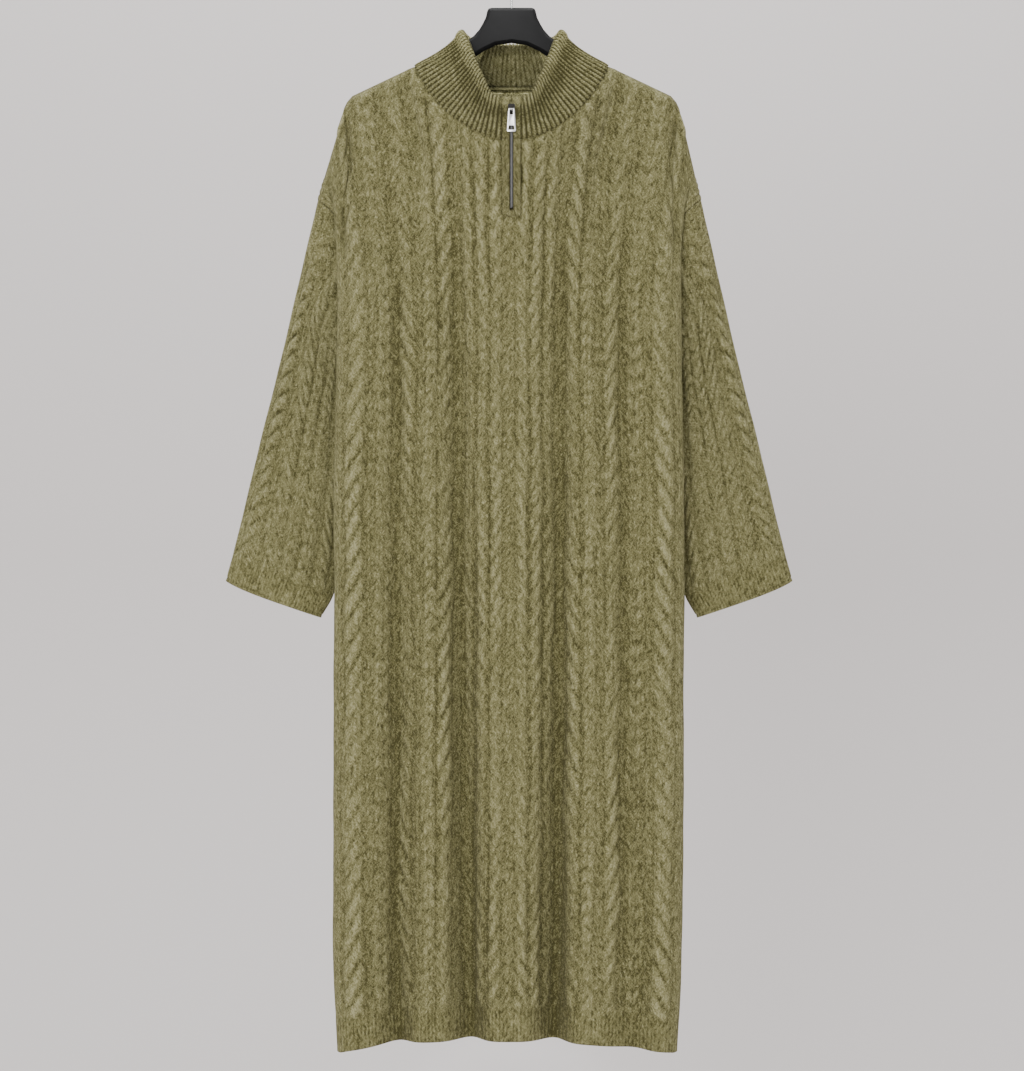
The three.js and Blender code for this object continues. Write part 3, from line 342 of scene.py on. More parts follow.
def shell_faces(rows, columns, step, around):
    """Quads of an outer grid and of an inner one with every step-th row and column, and the rim between."""
    inner_rows = (rows - 1) // step + 1
    inner_columns = columns // step if around else (columns - 1) // step + 1
    base = rows * columns
    out = lambda r, c: r * columns + c % columns
    ins = lambda r, c: base + r * inner_columns + c % inner_columns
    wide = columns if around else columns - 1
    wide_in = inner_columns if around else inner_columns - 1
    faces = [[out(r, c), out(r, c + 1), out(r + 1, c + 1), out(r + 1, c)]
             for r in range(rows - 1) for c in range(wide)]
    faces += [[ins(r, c), ins(r + 1, c), ins(r + 1, c + 1), ins(r, c + 1)]
              for r in range(inner_rows - 1) for c in range(wide_in)]
    for c in range(wide_in):
        edge = [c * step + i for i in range(step + 1)]
        faces.append([ins(0, c), ins(0, c + 1)] + [out(0, e) for e in reversed(edge)])
        faces.append([out(rows - 1, e) for e in edge] + [ins(inner_rows - 1, c + 1), ins(inner_rows - 1, c)])
    if not around:
        for r in range(inner_rows - 1):
            edge = [r * step + i for i in range(step + 1)]
            faces.append([out(e, 0) for e in edge] + [ins(r + 1, 0), ins(r, 0)])
            far_edge = [out(e, columns - 1) for e in reversed(edge)]
            faces.append([ins(r, wide_in), ins(r + 1, wide_in)] + far_edge)
    return faces


def both_faces(values, step):
    """What each vertex of the outer grid keeps, and then each of the inner grid."""
    inner = values[::step, ::step]
    return np.concatenate([values.reshape(-1, *values.shape[2:]), inner.reshape(-1, *values.shape[2:])])


def shell(name, base, height, uv, band, painted_fold_shade=0.0, thickness=WALL, step=4, around=False):
    normals = grid_normals(np.concatenate([base[:, -1:], base, base[:, :1]], 1))[:, 1:-1] if around \
        else grid_normals(base)
    if (normals * (base - base.mean((0, 1)))).sum() < 0:
        normals = -normals
    outer = base + normals * height[..., None]
    inner = (base - normals * thickness)[::step, ::step]
    points = np.concatenate([outer.reshape(-1, 3), inner.reshape(-1, 3)])
    faces = shell_faces(base.shape[0], base.shape[1], step, around)
    # Painted shade: darker where the cloth dips below its smoothed form and in the fold valleys, lighter on the
    # crests
    painted_cavity_shade = height - softened(height) - painted_fold_shade
    both = [both_faces(values, step) for values in (uv, painted_cavity_shade, band)]
    return piece_from(name, points, faces, *both)


# %% [markdown]
# The front and the back are the two large panels. Their columns stand closer near the armhole, where three
# linking ridges run beside the seam. The hem band is plain rib, so the cables start above it, and the front
# sinks along the zip so that its teeth can lie in the cloth.

# %% Front and back panels
half_flats = np.concatenate([np.linspace(0, 248, 90), np.linspace(248, 266, 14)[1:]])
flats = np.concatenate([-half_flats[:0:-1], half_flats])
LOWER_ROWS, UPPER_ROWS = 328, 108
LINK_START, LINK_WIDTH, LINK_RAISE = 247, 5.6, 1.1
heights_q = np.concatenate([np.linspace(0, 1, LOWER_ROWS + 1), 1 + np.linspace(0, 1, UPPER_ROWS + 1)[1:]])
print("panel grid", len(flats), "by", len(heights_q))


def zip_bed(height, off, z):
    """Flattens the front under the placket, sinks it along the zip and beside the placket's edges."""
    under_band = (1 - smoothstep(off, 13.0, 15.5)) * smoothstep(z, -358, -354)
    slot = (1 - smoothstep(off, 2.4, 4.0)) * smoothstep(z, -349, -345)
    band_edge = bell((off - 13.6) / 1.4) * smoothstep(z, -352, -310)
    return mix(height, -0.3, under_band) - 3.2 * slot - 1.8 * band_edge


def body_panel(name, front):
    flat, q = np.meshgrid(flats, heights_q)
    base = body_point(flat, q, front)
    steps = np.linalg.norm(np.diff(base, axis=0), axis=-1)
    middle = np.concatenate([np.zeros((1, len(flats))), np.cumsum(steps, axis=0)])
    along = np.where(q <= 1, q * LOWER_LENGTH, LOWER_LENGTH + (middle - middle[LOWER_ROWS]))
    m = np.abs(flat)
    height = cable_height(BODY_CABLES, m, along)
    inside = smoothstep(along, HEM_BAND - 6, HEM_BAND + 8)
    length = middle[-1] - middle[LOWER_ROWS]
    down = (2 - q) * length
    edge = smoothstep(down, 1.5, 9)
    height = (height + unevenness(flat, along)) * inside * edge * (1 - smoothstep(m, 252, 262))
    linking = LINK_RAISE * smoothstep(q, 1.05, 1.15) * np.abs(np.sin(math.pi * (SEAM - m) / LINK_WIDTH))
    height = height + np.where((m > LINK_START) & (q > 1), linking, 0)
    height = height - 0.9 * bell((down - 2) / 2.5) * (m < NECK_FLAT + 4)
    if front:
        height = zip_bed(height, np.abs(base[..., 0]), base[..., 2])
    band = 1 - smoothstep(along, HEM_BAND - 8, HEM_BAND + 6)
    folds = FRONT_FOLDS if front else BACK_FOLDS
    # Painted shade for the fold valleys: the deeper the fold, the darker the wool
    painted_fold_shade = fold_depth(folds, base[..., 0], base[..., 2]) * smoothstep(q, 2, 0.9) / 20 * (m < FACE + 20)
    return shell(name, base, height, np.stack([flat + 300, along], -1), band, painted_fold_shade)


front_panel = body_panel("dress_front", True)
back_panel = body_panel("dress_back", False)

# %% [markdown]
# Each sleeve is a wide flattened tube that hangs a little away from the body. It starts on the armhole that
# the two panels leave between them and ends in a plain ribbed cuff.

# %% Sleeves
SLEEVE_INNER = {
    "s": [0, 0.12, 0.5, 0.9, 1],
    "x": [197, 204, 211, 228, 246],
    "z": [-490, -530, -670, -832, -868],
}
SLEEVE_OUTER = {"s": [0, 1], "x": [249, 370.5], "z": [-325, -825]}
SLEEVE_LENGTH = 515
SLEEVE_FLAT_WIDTH = 150
SLEEVE_COLUMNS, SLEEVE_ROWS = 216, 209


def sleeve_point(s, c, side):
    share = (1 - np.cos(2 * math.pi * c)) / 2
    around = np.sin(2 * math.pi * c)
    swell = np.abs(around) ** 0.75 * np.sign(around)
    droop = 5 * smoothstep(s, 0.9, 1) * share**6
    inner_x, inner_z = (smooth_table(SLEEVE_INNER["s"], SLEEVE_INNER[k], s) for k in "xz")
    outer_x, outer_z = (smooth_table(SLEEVE_OUTER["s"], SLEEVE_OUTER[k], s) for k in "xz")
    x = mix(inner_x, outer_x, share) * side
    y = mix(8, 19, smoothstep(s, 0, 0.3)) - 15 * swell
    return swayed(np.stack([x, y, mix(inner_z, outer_z, share) + droop], -1))


def sleeve(name, side):
    c, s = np.meshgrid(np.arange(SLEEVE_COLUMNS) / SLEEVE_COLUMNS, np.linspace(0, 1, SLEEVE_ROWS))
    share = (1 - np.cos(2 * math.pi * c)) / 2
    armhole = np.where((c <= 0.5)[..., None], body_point(SEAM * side, 1 + share, True),
                       body_point(SEAM * side, 1 + share, False))
    armhole[..., 2] -= 0.5
    pull = (1 - smoothstep(s, 0, 0.22))[..., None]
    base = sleeve_point(s, c, side) + (armhole - sleeve_point(np.zeros_like(s), c, side)) * pull
    folded = np.minimum(c, 1 - c)
    along = (1 - s) * SLEEVE_LENGTH
    height = cable_height(SLEEVE_CABLES, folded, along, 0.003)
    inside = smoothstep(along, CUFF_BAND - 6, CUFF_BAND + 8) * smoothstep(s, 0.01, 0.05)
    height = (height + unevenness(700 * c, along)) * inside - 0.9 * bell((along - 4.5) / 1.4)
    band = 1 - smoothstep(along, CUFF_BAND - 8, CUFF_BAND + 6)
    round_mm = np.where(c < 0.5, share, 2 - share) * SLEEVE_FLAT_WIDTH
    uv = np.stack([round_mm + 800, along], -1)
    return shell(name, base, height, uv, band, around=True)


sleeve_left = sleeve("dress_sleeve_left", 1)
sleeve_right = sleeve("dress_sleeve_right", -1)

# %% [markdown]
# The collar is rib knit, folded over at its top edge, so it is thick and round there and its ribs fan from
# the neckline. It is modelled as a ring of columns from the neckline, up the outside, over the fold and down
# the inside. Beside the zip the ribs stop at a plain band.

# %% Collar
COLLAR_TOP = np.array([(0, -52, -201), (23, -50, -197), (37, -40, -171), (47.5, -28, -145), (58, -13, -117),
                       (63.5, 2, -105), (56, 25, -108), (36, 39, -112), (0, 45, -114)], float)
RIBS = 96
RIB_RAISE, INSIDE_RIBS, RIB_WIDTH = 2.2, -0.45, 4.6
COLLAR_WALL, COLLAR_PROUD, COLLAR_CAP = 5.0, 0.6, 4.2
mirror = np.array([-1, 1, 1])


def between(t, start, end, a, b):
    return (end - t) / (end - start) * a + (t - start) / (end - start) * b


def smooth_line(points, steps=40):
    """A curve through all points but the first and last, which only steer its ends."""
    line = []
    for i in range(1, len(points) - 2):
        p = points[i - 1 : i + 3]
        knots = np.concatenate([[0], np.cumsum(np.sqrt(np.linalg.norm(np.diff(p, axis=0), axis=1)))])
        t = np.linspace(knots[1], knots[2], steps, endpoint=False)[:, None]
        a = [between(t, knots[j], knots[j + 1], p[j], p[j + 1]) for j in range(3)]
        b = [between(t, knots[j], knots[j + 2], a[j], a[j + 1]) for j in range(2)]
        line.append(between(t, knots[1], knots[2], b[0], b[1]))
    return np.concatenate(line + [points[-2][None]])


def at_shares(line, shares):
    run = np.concatenate([[0], np.cumsum(np.linalg.norm(np.diff(line, axis=0), axis=1))])
    return np.stack([np.interp(shares * run[-1], run, line[:, k]) for k in range(3)], -1)


neck_flats = np.linspace(0, NECK_FLAT, 60)
neck_line = np.concatenate([body_point(neck_flats, 2, True), body_point(neck_flats[-2::-1], 2, False)])
top_line = smooth_line(np.concatenate([COLLAR_TOP[1:2] * mirror, COLLAR_TOP, COLLAR_TOP[7:8] * mirror]))


def collar_base(around):
    """Foot, rise to the top edge, and outward direction of the collar at a share of the way round."""
    share = np.where(around <= 0.5, around * 2, (1 - around) * 2)
    side = np.where(around <= 0.5, 1.0, -1.0)[:, None] * np.array([1, 0, 0]) + np.array([0, 1, 1])
    foot, top = at_shares(neck_line, share) * side, at_shares(top_line, share) * side
    rise = top - foot
    tangent = np.roll(foot, -1, 0) - np.roll(foot, 1, 0)
    out = np.cross(tangent, rise)
    for _ in range(12):
        out = (np.roll(out, 1, 0) + out + np.roll(out, -1, 0)) / 3
    return foot, rise, out / np.linalg.norm(out, axis=1, keepdims=True)


def collar_ring(part, v, foot, rise, out, rib):
    """One ring of the collar: its points, its painted shade, and how far up the cloth it lies."""
    length = np.linalg.norm(rise, axis=1)
    over = {"out": 1.0, "cap": math.cos(v), "in": -1.0}[part]
    outside = over > 0.3
    straight = 1 - COLLAR_CAP / length
    share = straight + math.sin(v) * COLLAR_CAP / length if part == "cap" else v * straight
    lift = rib * math.sin(v) / length if part == "cap" else 0
    ridge = rib * (INSIDE_RIBS if part == "in" else over)
    off, z = np.abs(foot[:, 0] + rise[:, 0] * share), foot[:, 2] + rise[:, 2] * share
    on_front = foot[:, 1] < 0

    # Plain bands beside the zip, a groove at their edges, a bed for the teeth, and the split above them
    if outside:
        ridge = mix(ridge, 1.6, (1 - smoothstep(off, 11.5, 12.6)) * on_front)
        ridge = ridge - 1.5 * bell((off - 12.4) / 0.8) * on_front
        ridge = ridge - 4.0 * (1 - smoothstep(off, 2.2, 2.9)) * on_front * (z < -207)
    split = 1.2 * (1 - smoothstep(off, 0.2, 0.7)) * on_front * (z > -209)
    ridge = ridge - split if outside else ridge + split

    # The sides sink in a little, the front swells by the zip, and the rim rolls outwards
    by_zip = (1 - smoothstep(off, 14, 42)) * on_front
    fall = length * (1 - share)
    rolled = 1 - smoothstep(fall, 7, 15)
    bulge = mix(-3.2, 3, by_zip) * np.sin(math.pi * np.clip(share, 0, 1))
    bulge = bulge + mix(-1.8, 4.0, (1 + over) / 2) * rolled * (1 - 0.75 * by_zip)
    # Painted shade: the outside is darker below the rolled rim, the inside is painted lighter, and the rib
    # grooves are darker than their crests
    shade = np.full_like(fall, -0.9)
    if outside:
        bulge = bulge - 1.2 * bell(share * length / 2.5)
        shade = 1.3 * smoothstep(fall, 10, 18) * (1 - 0.6 * smoothstep(fall, 24, 42))
    proud = COLLAR_PROUD - COLLAR_WALL / 2 + over * COLLAR_WALL / 2
    place = foot + rise * (share + lift)[:, None] + out * (bulge + proud + ridge)[:, None]
    return place, np.abs(ridge) - shade, share * length


def ring_quads(rings, count, closed=False):
    """Quads between rings of points, and from the last ring back to the first when closed."""
    faces = []
    for r in range(rings if closed else rings - 1):
        here, there = r * count, (r + 1) % rings * count
        for c in range(count):
            after = (c + 1) % count
            faces.append([here + c, here + after, there + after, there + c])
    return faces


def collar():
    count = RIBS * 8
    around = np.arange(count) / count
    foot, rise, out = collar_base(around)
    rib = np.abs(np.sin(math.pi * RIBS * around)) ** 0.9 * RIB_RAISE
    up = np.linspace(-0.02, 1, 17)
    turn = np.linspace(0, math.pi, 9)[1:-1]
    rings = [collar_ring(part, v, foot, rise, out, rib)
             for part, values in (("out", up), ("cap", turn), ("in", up[::-1])) for v in values]
    points, painted_shade, climbed = (np.stack([ring[k] for ring in rings]) for k in range(3))
    uv = np.stack([np.broadcast_to(around * RIBS * RIB_WIDTH, painted_shade.shape) + 1200, climbed], -1).reshape(-1, 2)
    # Painted shade: the whole collar is a little darker
    painted_shade = painted_shade.ravel() - 1.35
    faces = ring_quads(len(rings), count, closed=True)
    return piece_from("dress_collar", points.reshape(-1, 3), faces, uv, painted_shade, np.zeros(len(painted_shade)))


collar_piece = collar()

# %% [markdown]
# The placket is a plain knitted band, sewn down round the zip. It is cut from the front's own points, lifted
# off them, and given a thickness by Solidify.

# %% Placket
def front_y(x, z):
    """Depth of the front beside the zip at a height."""
    q = np.linspace(1.3, 2, 200)
    column = body_point(np.zeros_like(q), q, True)
    return np.interp(z, column[:, 2], column[:, 1]) + 0.0022 * np.asarray(x) ** 2


PLACKET_HALF, PLACKET_FOOT, PLACKET_HEAD = 12, -353, -256.2
PLACKET_CORNER, PLACKET_THICK = 2.6, 1.4
SLOT_HALF, SLOT_FOOT = 2.2, -346.5


def placket():
    xs = np.linspace(-PLACKET_HALF, PLACKET_HALF, 41)
    rows = np.linspace(0, 1, 73)
    x, t = np.meshgrid(xs, rows)
    past = np.maximum(np.abs(x) - (PLACKET_HALF - PLACKET_CORNER), 0)
    corner = PLACKET_CORNER - np.sqrt(np.maximum(PLACKET_CORNER**2 - past**2, 0))
    z = mix(PLACKET_FOOT + corner, PLACKET_HEAD, t)
    edge = 1 - smoothstep(np.abs(x), 10.6, PLACKET_HALF) * 0.55
    inner_edge = smoothstep(np.abs(x), 2.0, 3.4) * 0.5 + 0.5
    y = front_y(x, z) - 0.5 - 1.7 * edge * np.where(z > -346, inner_edge, 1)
    points = np.stack([x, y, z], -1).reshape(-1, 3)
    count = len(xs)
    faces = []
    for r in range(len(rows) - 1):
        for c in range(count - 1):
            middle_x, middle_z = (xs[c] + xs[c + 1]) / 2, z[r, c]
            if abs(middle_x) < SLOT_HALF and middle_z > SLOT_FOOT:
                continue
            faces.append([r * count + c, r * count + c + 1, (r + 1) * count + c + 1, (r + 1) * count + c])
    uv = np.stack([x + 1900, z + 400], -1).reshape(-1, 2)
    obj = piece_from("dress_placket", points, faces, uv, np.zeros(len(points)), np.zeros(len(points)))
    mesh_faces_forward(obj)
    deselect_all()
    obj.select_set(True)
    bpy.context.view_layer.objects.active = obj
    wall = obj.modifiers.new("wall", "SOLIDIFY")
    wall.thickness = PLACKET_THICK * MM
    wall.offset = -1
    bpy.ops.object.modifier_apply(modifier="wall")
    return obj


def mesh_faces_forward(obj):
    """Turns an open sheet so that its faces look to the front."""
    if sum(p.normal.y for p in obj.data.polygons) > 0:
        obj.data.flip_normals()


placket_piece = placket()

# %% [markdown]
# A metal zip is two rows of teeth that mesh. One tooth is modelled and copied down both sides of the slot,
# half a pitch apart. A dark woven tape lies behind them.

# %% Zip teeth and tape
def zip_face(z):
    """Depth of the zip's face down the collar and the front."""
    v = np.clip((z + 256) / 55, 0, 1)
    on_collar = mix(-62, -52, v) - 3 * np.sin(math.pi * v) - 0.6
    return np.where(z >= -256, on_collar, front_y(0, z))


TOOTH, TOOTH_BEVEL, TOOTH_PITCH, TOOTH_OFF = (2.1, 1.5, 0.95), 0.28, 1.5, 0.62
ZIP_FOOT, ZIP_LENGTH = -342, 118


def one_tooth():
    deselect_all()
    bpy.ops.mesh.primitive_cube_add(size=1, location=(0, 0, 0), scale=[side * MM for side in TOOTH])
    tooth = bpy.context.object
    bpy.ops.object.transform_apply(location=True, rotation=True, scale=True)
    bpy.ops.object.mode_set(mode="EDIT")
    bpy.ops.mesh.select_all(action="SELECT")
    bpy.ops.mesh.bevel(offset=TOOTH_BEVEL * MM, segments=1, affect="EDGES")
    bpy.ops.object.mode_set(mode="OBJECT")
    return tooth


def zip_teeth():
    tooth = one_tooth()
    shape = np.array([v.co for v in tooth.data.vertices]) / MM
    polygons = [list(p.vertices) for p in tooth.data.polygons]
    bpy.data.objects.remove(tooth)
    points, faces = [], []
    for i in range(int(2 * ZIP_LENGTH / TOOTH_PITCH)):
        z = ZIP_FOOT + i * TOOTH_PITCH / 2
        side = 1 if i % 2 else -1
        place = np.array([side * TOOTH_OFF, float(zip_face(z)) - 0.1, z])
        faces += [[k + len(points) * len(shape) for k in p] for p in polygons]
        points.append(shape + place)
    deselect_all()
    obj = piece_from("zip_teeth", np.concatenate(points), faces)
    obj.data.polygons.foreach_set("use_smooth", np.zeros(len(obj.data.polygons), bool))
    return obj


def zip_tape():
    z = np.linspace(-344, -222.5, 60)
    xs = np.array([-2.9, -2.2, 0, 2.2, 2.9])
    face = zip_face(z)
    front = np.stack([np.stack([np.full_like(z, x), face + 1.0, z], -1) for x in xs], 1)
    back_face = front + np.array([0, 1.0, 0])
    points = np.concatenate([front.reshape(-1, 3), back_face.reshape(-1, 3)])
    n, m = len(xs), len(z)
    faces = []
    for r in range(m - 1):
        for c in range(n - 1):
            quad = [r * n + c, r * n + c + 1, (r + 1) * n + c + 1, (r + 1) * n + c]
            faces += [quad, [i + n * m for i in reversed(quad)]]
        for c, turn in ((0, 1), (n - 1, -1)):
            quad = [r * n + c, (r + 1) * n + c, (r + 1) * n + c + n * m, r * n + c + n * m]
            faces.append(quad[::turn])
    for r, turn in ((0, 1), (m - 1, -1)):
        for c in range(n - 1):
            quad = [r * n + c, r * n + c + n * m, r * n + c + 1 + n * m, r * n + c + 1]
            faces.append(quad[::turn])
    return piece_from("zip_tape", points, faces)


teeth_piece = zip_teeth()
tape_piece = zip_tape()

# %% [markdown]
# Hard pieces start from their CAD solids, because the shape is already right. A copy is merged, its flat
# faces are joined up, and a bevel gives the small round edge that catches the light on cast metal and
# moulded plastic.

# %% Slider, pull tab and hanger
def rounded_copy(node, name, bevel, segments, angle=20):
    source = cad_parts[node]
    obj = bpy.data.objects.new(name, source.data.copy())
    bpy.context.scene.collection.objects.link(obj)
    obj.data.materials.clear()
    deselect_all()
    obj.select_set(True)
    bpy.context.view_layer.objects.active = obj
    bpy.ops.object.mode_set(mode="EDIT")
    bpy.ops.mesh.select_all(action="SELECT")
    bpy.ops.mesh.remove_doubles(threshold=0.00001)
    bpy.ops.mesh.dissolve_limited(angle_limit=math.radians(3))
    bpy.ops.object.mode_set(mode="OBJECT")
    edge = obj.modifiers.new("edge", "BEVEL")
    edge.width = bevel * MM
    edge.segments = segments
    edge.limit_method = "ANGLE"
    edge.angle_limit = math.radians(angle)
    edge.use_clamp_overlap = True
    bpy.ops.object.modifier_apply(modifier="edge")
    bpy.ops.object.shade_smooth_by_angle(angle=math.radians(40))
    print(name, len(obj.data.polygons), "faces")
    return obj


slider_piece = rounded_copy("zip_slider", "zip_slider_body", 0.35, 3, 30)
pull_piece = rounded_copy("zip_pull", "zip_pull_tab", 0.3, 3, 30)
hanger_piece = rounded_copy("hanger", "hanger_body", 1.1, 3, 18)

# %% [markdown]
# The hook is bent from round wire. A curve with a round bevel gives a wire of even thickness, and it is made
# a mesh at the end. The top of the loop is where the whole dress hangs.

# %% Hook
HOOK_RADIUS, HOOK_CENTRE_Z, WIRE_RADIUS = 23.7, -22, 1.66


def hook():
    points = [(0, -92), (0, -80), (0, -70), (0, -60), (1.2, -54), (5, -48)]
    for i in range(49):
        a = math.radians(-50 + 250 * i / 48)
        points.append((HOOK_RADIUS * math.cos(a), HOOK_CENTRE_Z + HOOK_RADIUS * math.sin(a)))
    wire = bpy.data.curves.new("hook_wire", "CURVE")
    wire.dimensions = "3D"
    wire.bevel_depth = WIRE_RADIUS * MM
    wire.bevel_resolution = 5
    wire.use_fill_caps = True
    line = wire.splines.new("POLY")
    line.points.add(len(points) - 1)
    for p, (x, z) in zip(line.points, points):
        p.co = (x * MM, 0, z * MM, 1)
    obj = bpy.data.objects.new("hook_wire", wire)
    bpy.context.scene.collection.objects.link(obj)
    deselect_all()
    obj.select_set(True)
    bpy.context.view_layer.objects.active = obj
    bpy.ops.object.convert(target="MESH")
    obj = bpy.context.object
    bpy.ops.object.shade_smooth_by_angle(angle=math.radians(50))
    print("hook", len(obj.data.polygons), "faces")
    return obj


hook_piece = hook()

# %% [markdown]
# Two small pieces are tubes along a line. The bridge is the bright loop on the slider that holds the tab. The
# neck seam is the double row of linking stitches that shows inside the back of the neck.

# %% Bridge and neck seam
STITCH_PITCH = 4.2


def tube(name, centres, radius, sides, lumps=0.0):
    """A closed tube along a line of points, its section lumpy like a row of stitches when asked."""
    centres = np.asarray(centres, float)
    heading = np.gradient(centres, axis=0)
    heading /= np.linalg.norm(heading, axis=1, keepdims=True)
    widest = np.argmin(np.abs(heading).max(0))
    first = np.cross(heading, np.eye(3)[widest])
    first /= np.linalg.norm(first, axis=1, keepdims=True)
    second = np.cross(heading, first)
    turn = np.linspace(0, 2 * math.pi, sides, endpoint=False)
    run = np.concatenate([[0], np.cumsum(np.linalg.norm(np.diff(centres, axis=0), axis=1))])
    end_round = np.sqrt(np.clip(np.minimum(run, run[-1] - run) / radius, 0.04, 1))
    size = radius * (1 + lumps * np.sin(run * 2 * math.pi / STITCH_PITCH)) * end_round
    ring = np.cos(turn)[None, :, None] * first[:, None] + np.sin(turn)[None, :, None] * second[:, None]
    points = centres[:, None] + ring * size[:, None, None]
    n = len(centres)
    faces = ring_quads(n, sides)
    faces += [list(range(sides - 1, -1, -1)), list(range((n - 1) * sides, n * sides))]
    points = points.reshape(-1, 3)
    uv = np.stack([np.repeat(run, sides), np.tile(turn * radius, n)], -1)
    return piece_from(name, points, faces, uv, np.zeros(len(points)), np.zeros(len(points)))


def bridge():
    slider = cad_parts["zip_slider"]
    corners = np.array([slider.matrix_world @ Vector(v.co) for v in slider.data.vertices]) / MM
    tip_y = corners[:, 1].min()
    at_tip = corners[np.abs(corners[:, 1] - tip_y) < 1.5]
    high, low = at_tip[:, 2].max(), at_tip[:, 2].min()
    turn = np.linspace(0, 0.6 * math.pi, 25)
    z = (high + low) / 2 + np.cos(turn) * (high - low) / 2
    y = tip_y + 4.2 - 4.6 * np.sin(turn) ** 0.6
    return tube("zip_bridge", np.stack([np.zeros_like(z), y, z], -1), radius=1.4, sides=16)


def neck_seam():
    line = neck_line[len(neck_flats) + 12 :]
    line = np.concatenate([line * mirror, line[-2::-1]])
    made = []
    for i, (drop, back_off) in enumerate(((5.0, 4.2), (13.0, 4.4))):
        row = at_shares(line + np.array([0, -back_off, -drop]), np.linspace(0, 1, 220))
        made.append(tube(f"neck_seam_{i}", row, radius=1.9, sides=10, lumps=0.16))
    return made


bridge_piece = bridge()
neck_seams = neck_seam()

# %% [markdown]
# Wool that has been brushed scatters light: it is rough, has a soft sheen, and its yarn is spun from lighter
# and darker fibres. Knit stitches are small Vs on the cloth's own UV. Noise pushes their places about, so
# that they look pulled and felted, and more noise at two sizes gives the yarn's lumps and the loose fibres.

# %% Wool
def node_tools(material):
    material.use_nodes = True
    tree = material.node_tree
    tree.nodes.clear()

    def node(kind, inputs=None, **settings):
        made = tree.nodes.new(kind)
        for key, value in settings.items():
            setattr(made, key, value)
        for socket, value in (inputs or {}).items():
            if isinstance(value, bpy.types.NodeSocket):
                tree.links.new(value, made.inputs[socket])
            else:
                made.inputs[socket].default_value = value
        return made

    def maths(operation, a, b=0.0, c=0.0, clamp=False):
        return node("ShaderNodeMath", {0: a, 1: b, 2: c}, operation=operation, use_clamp=clamp).outputs[0]

    return tree, node, maths


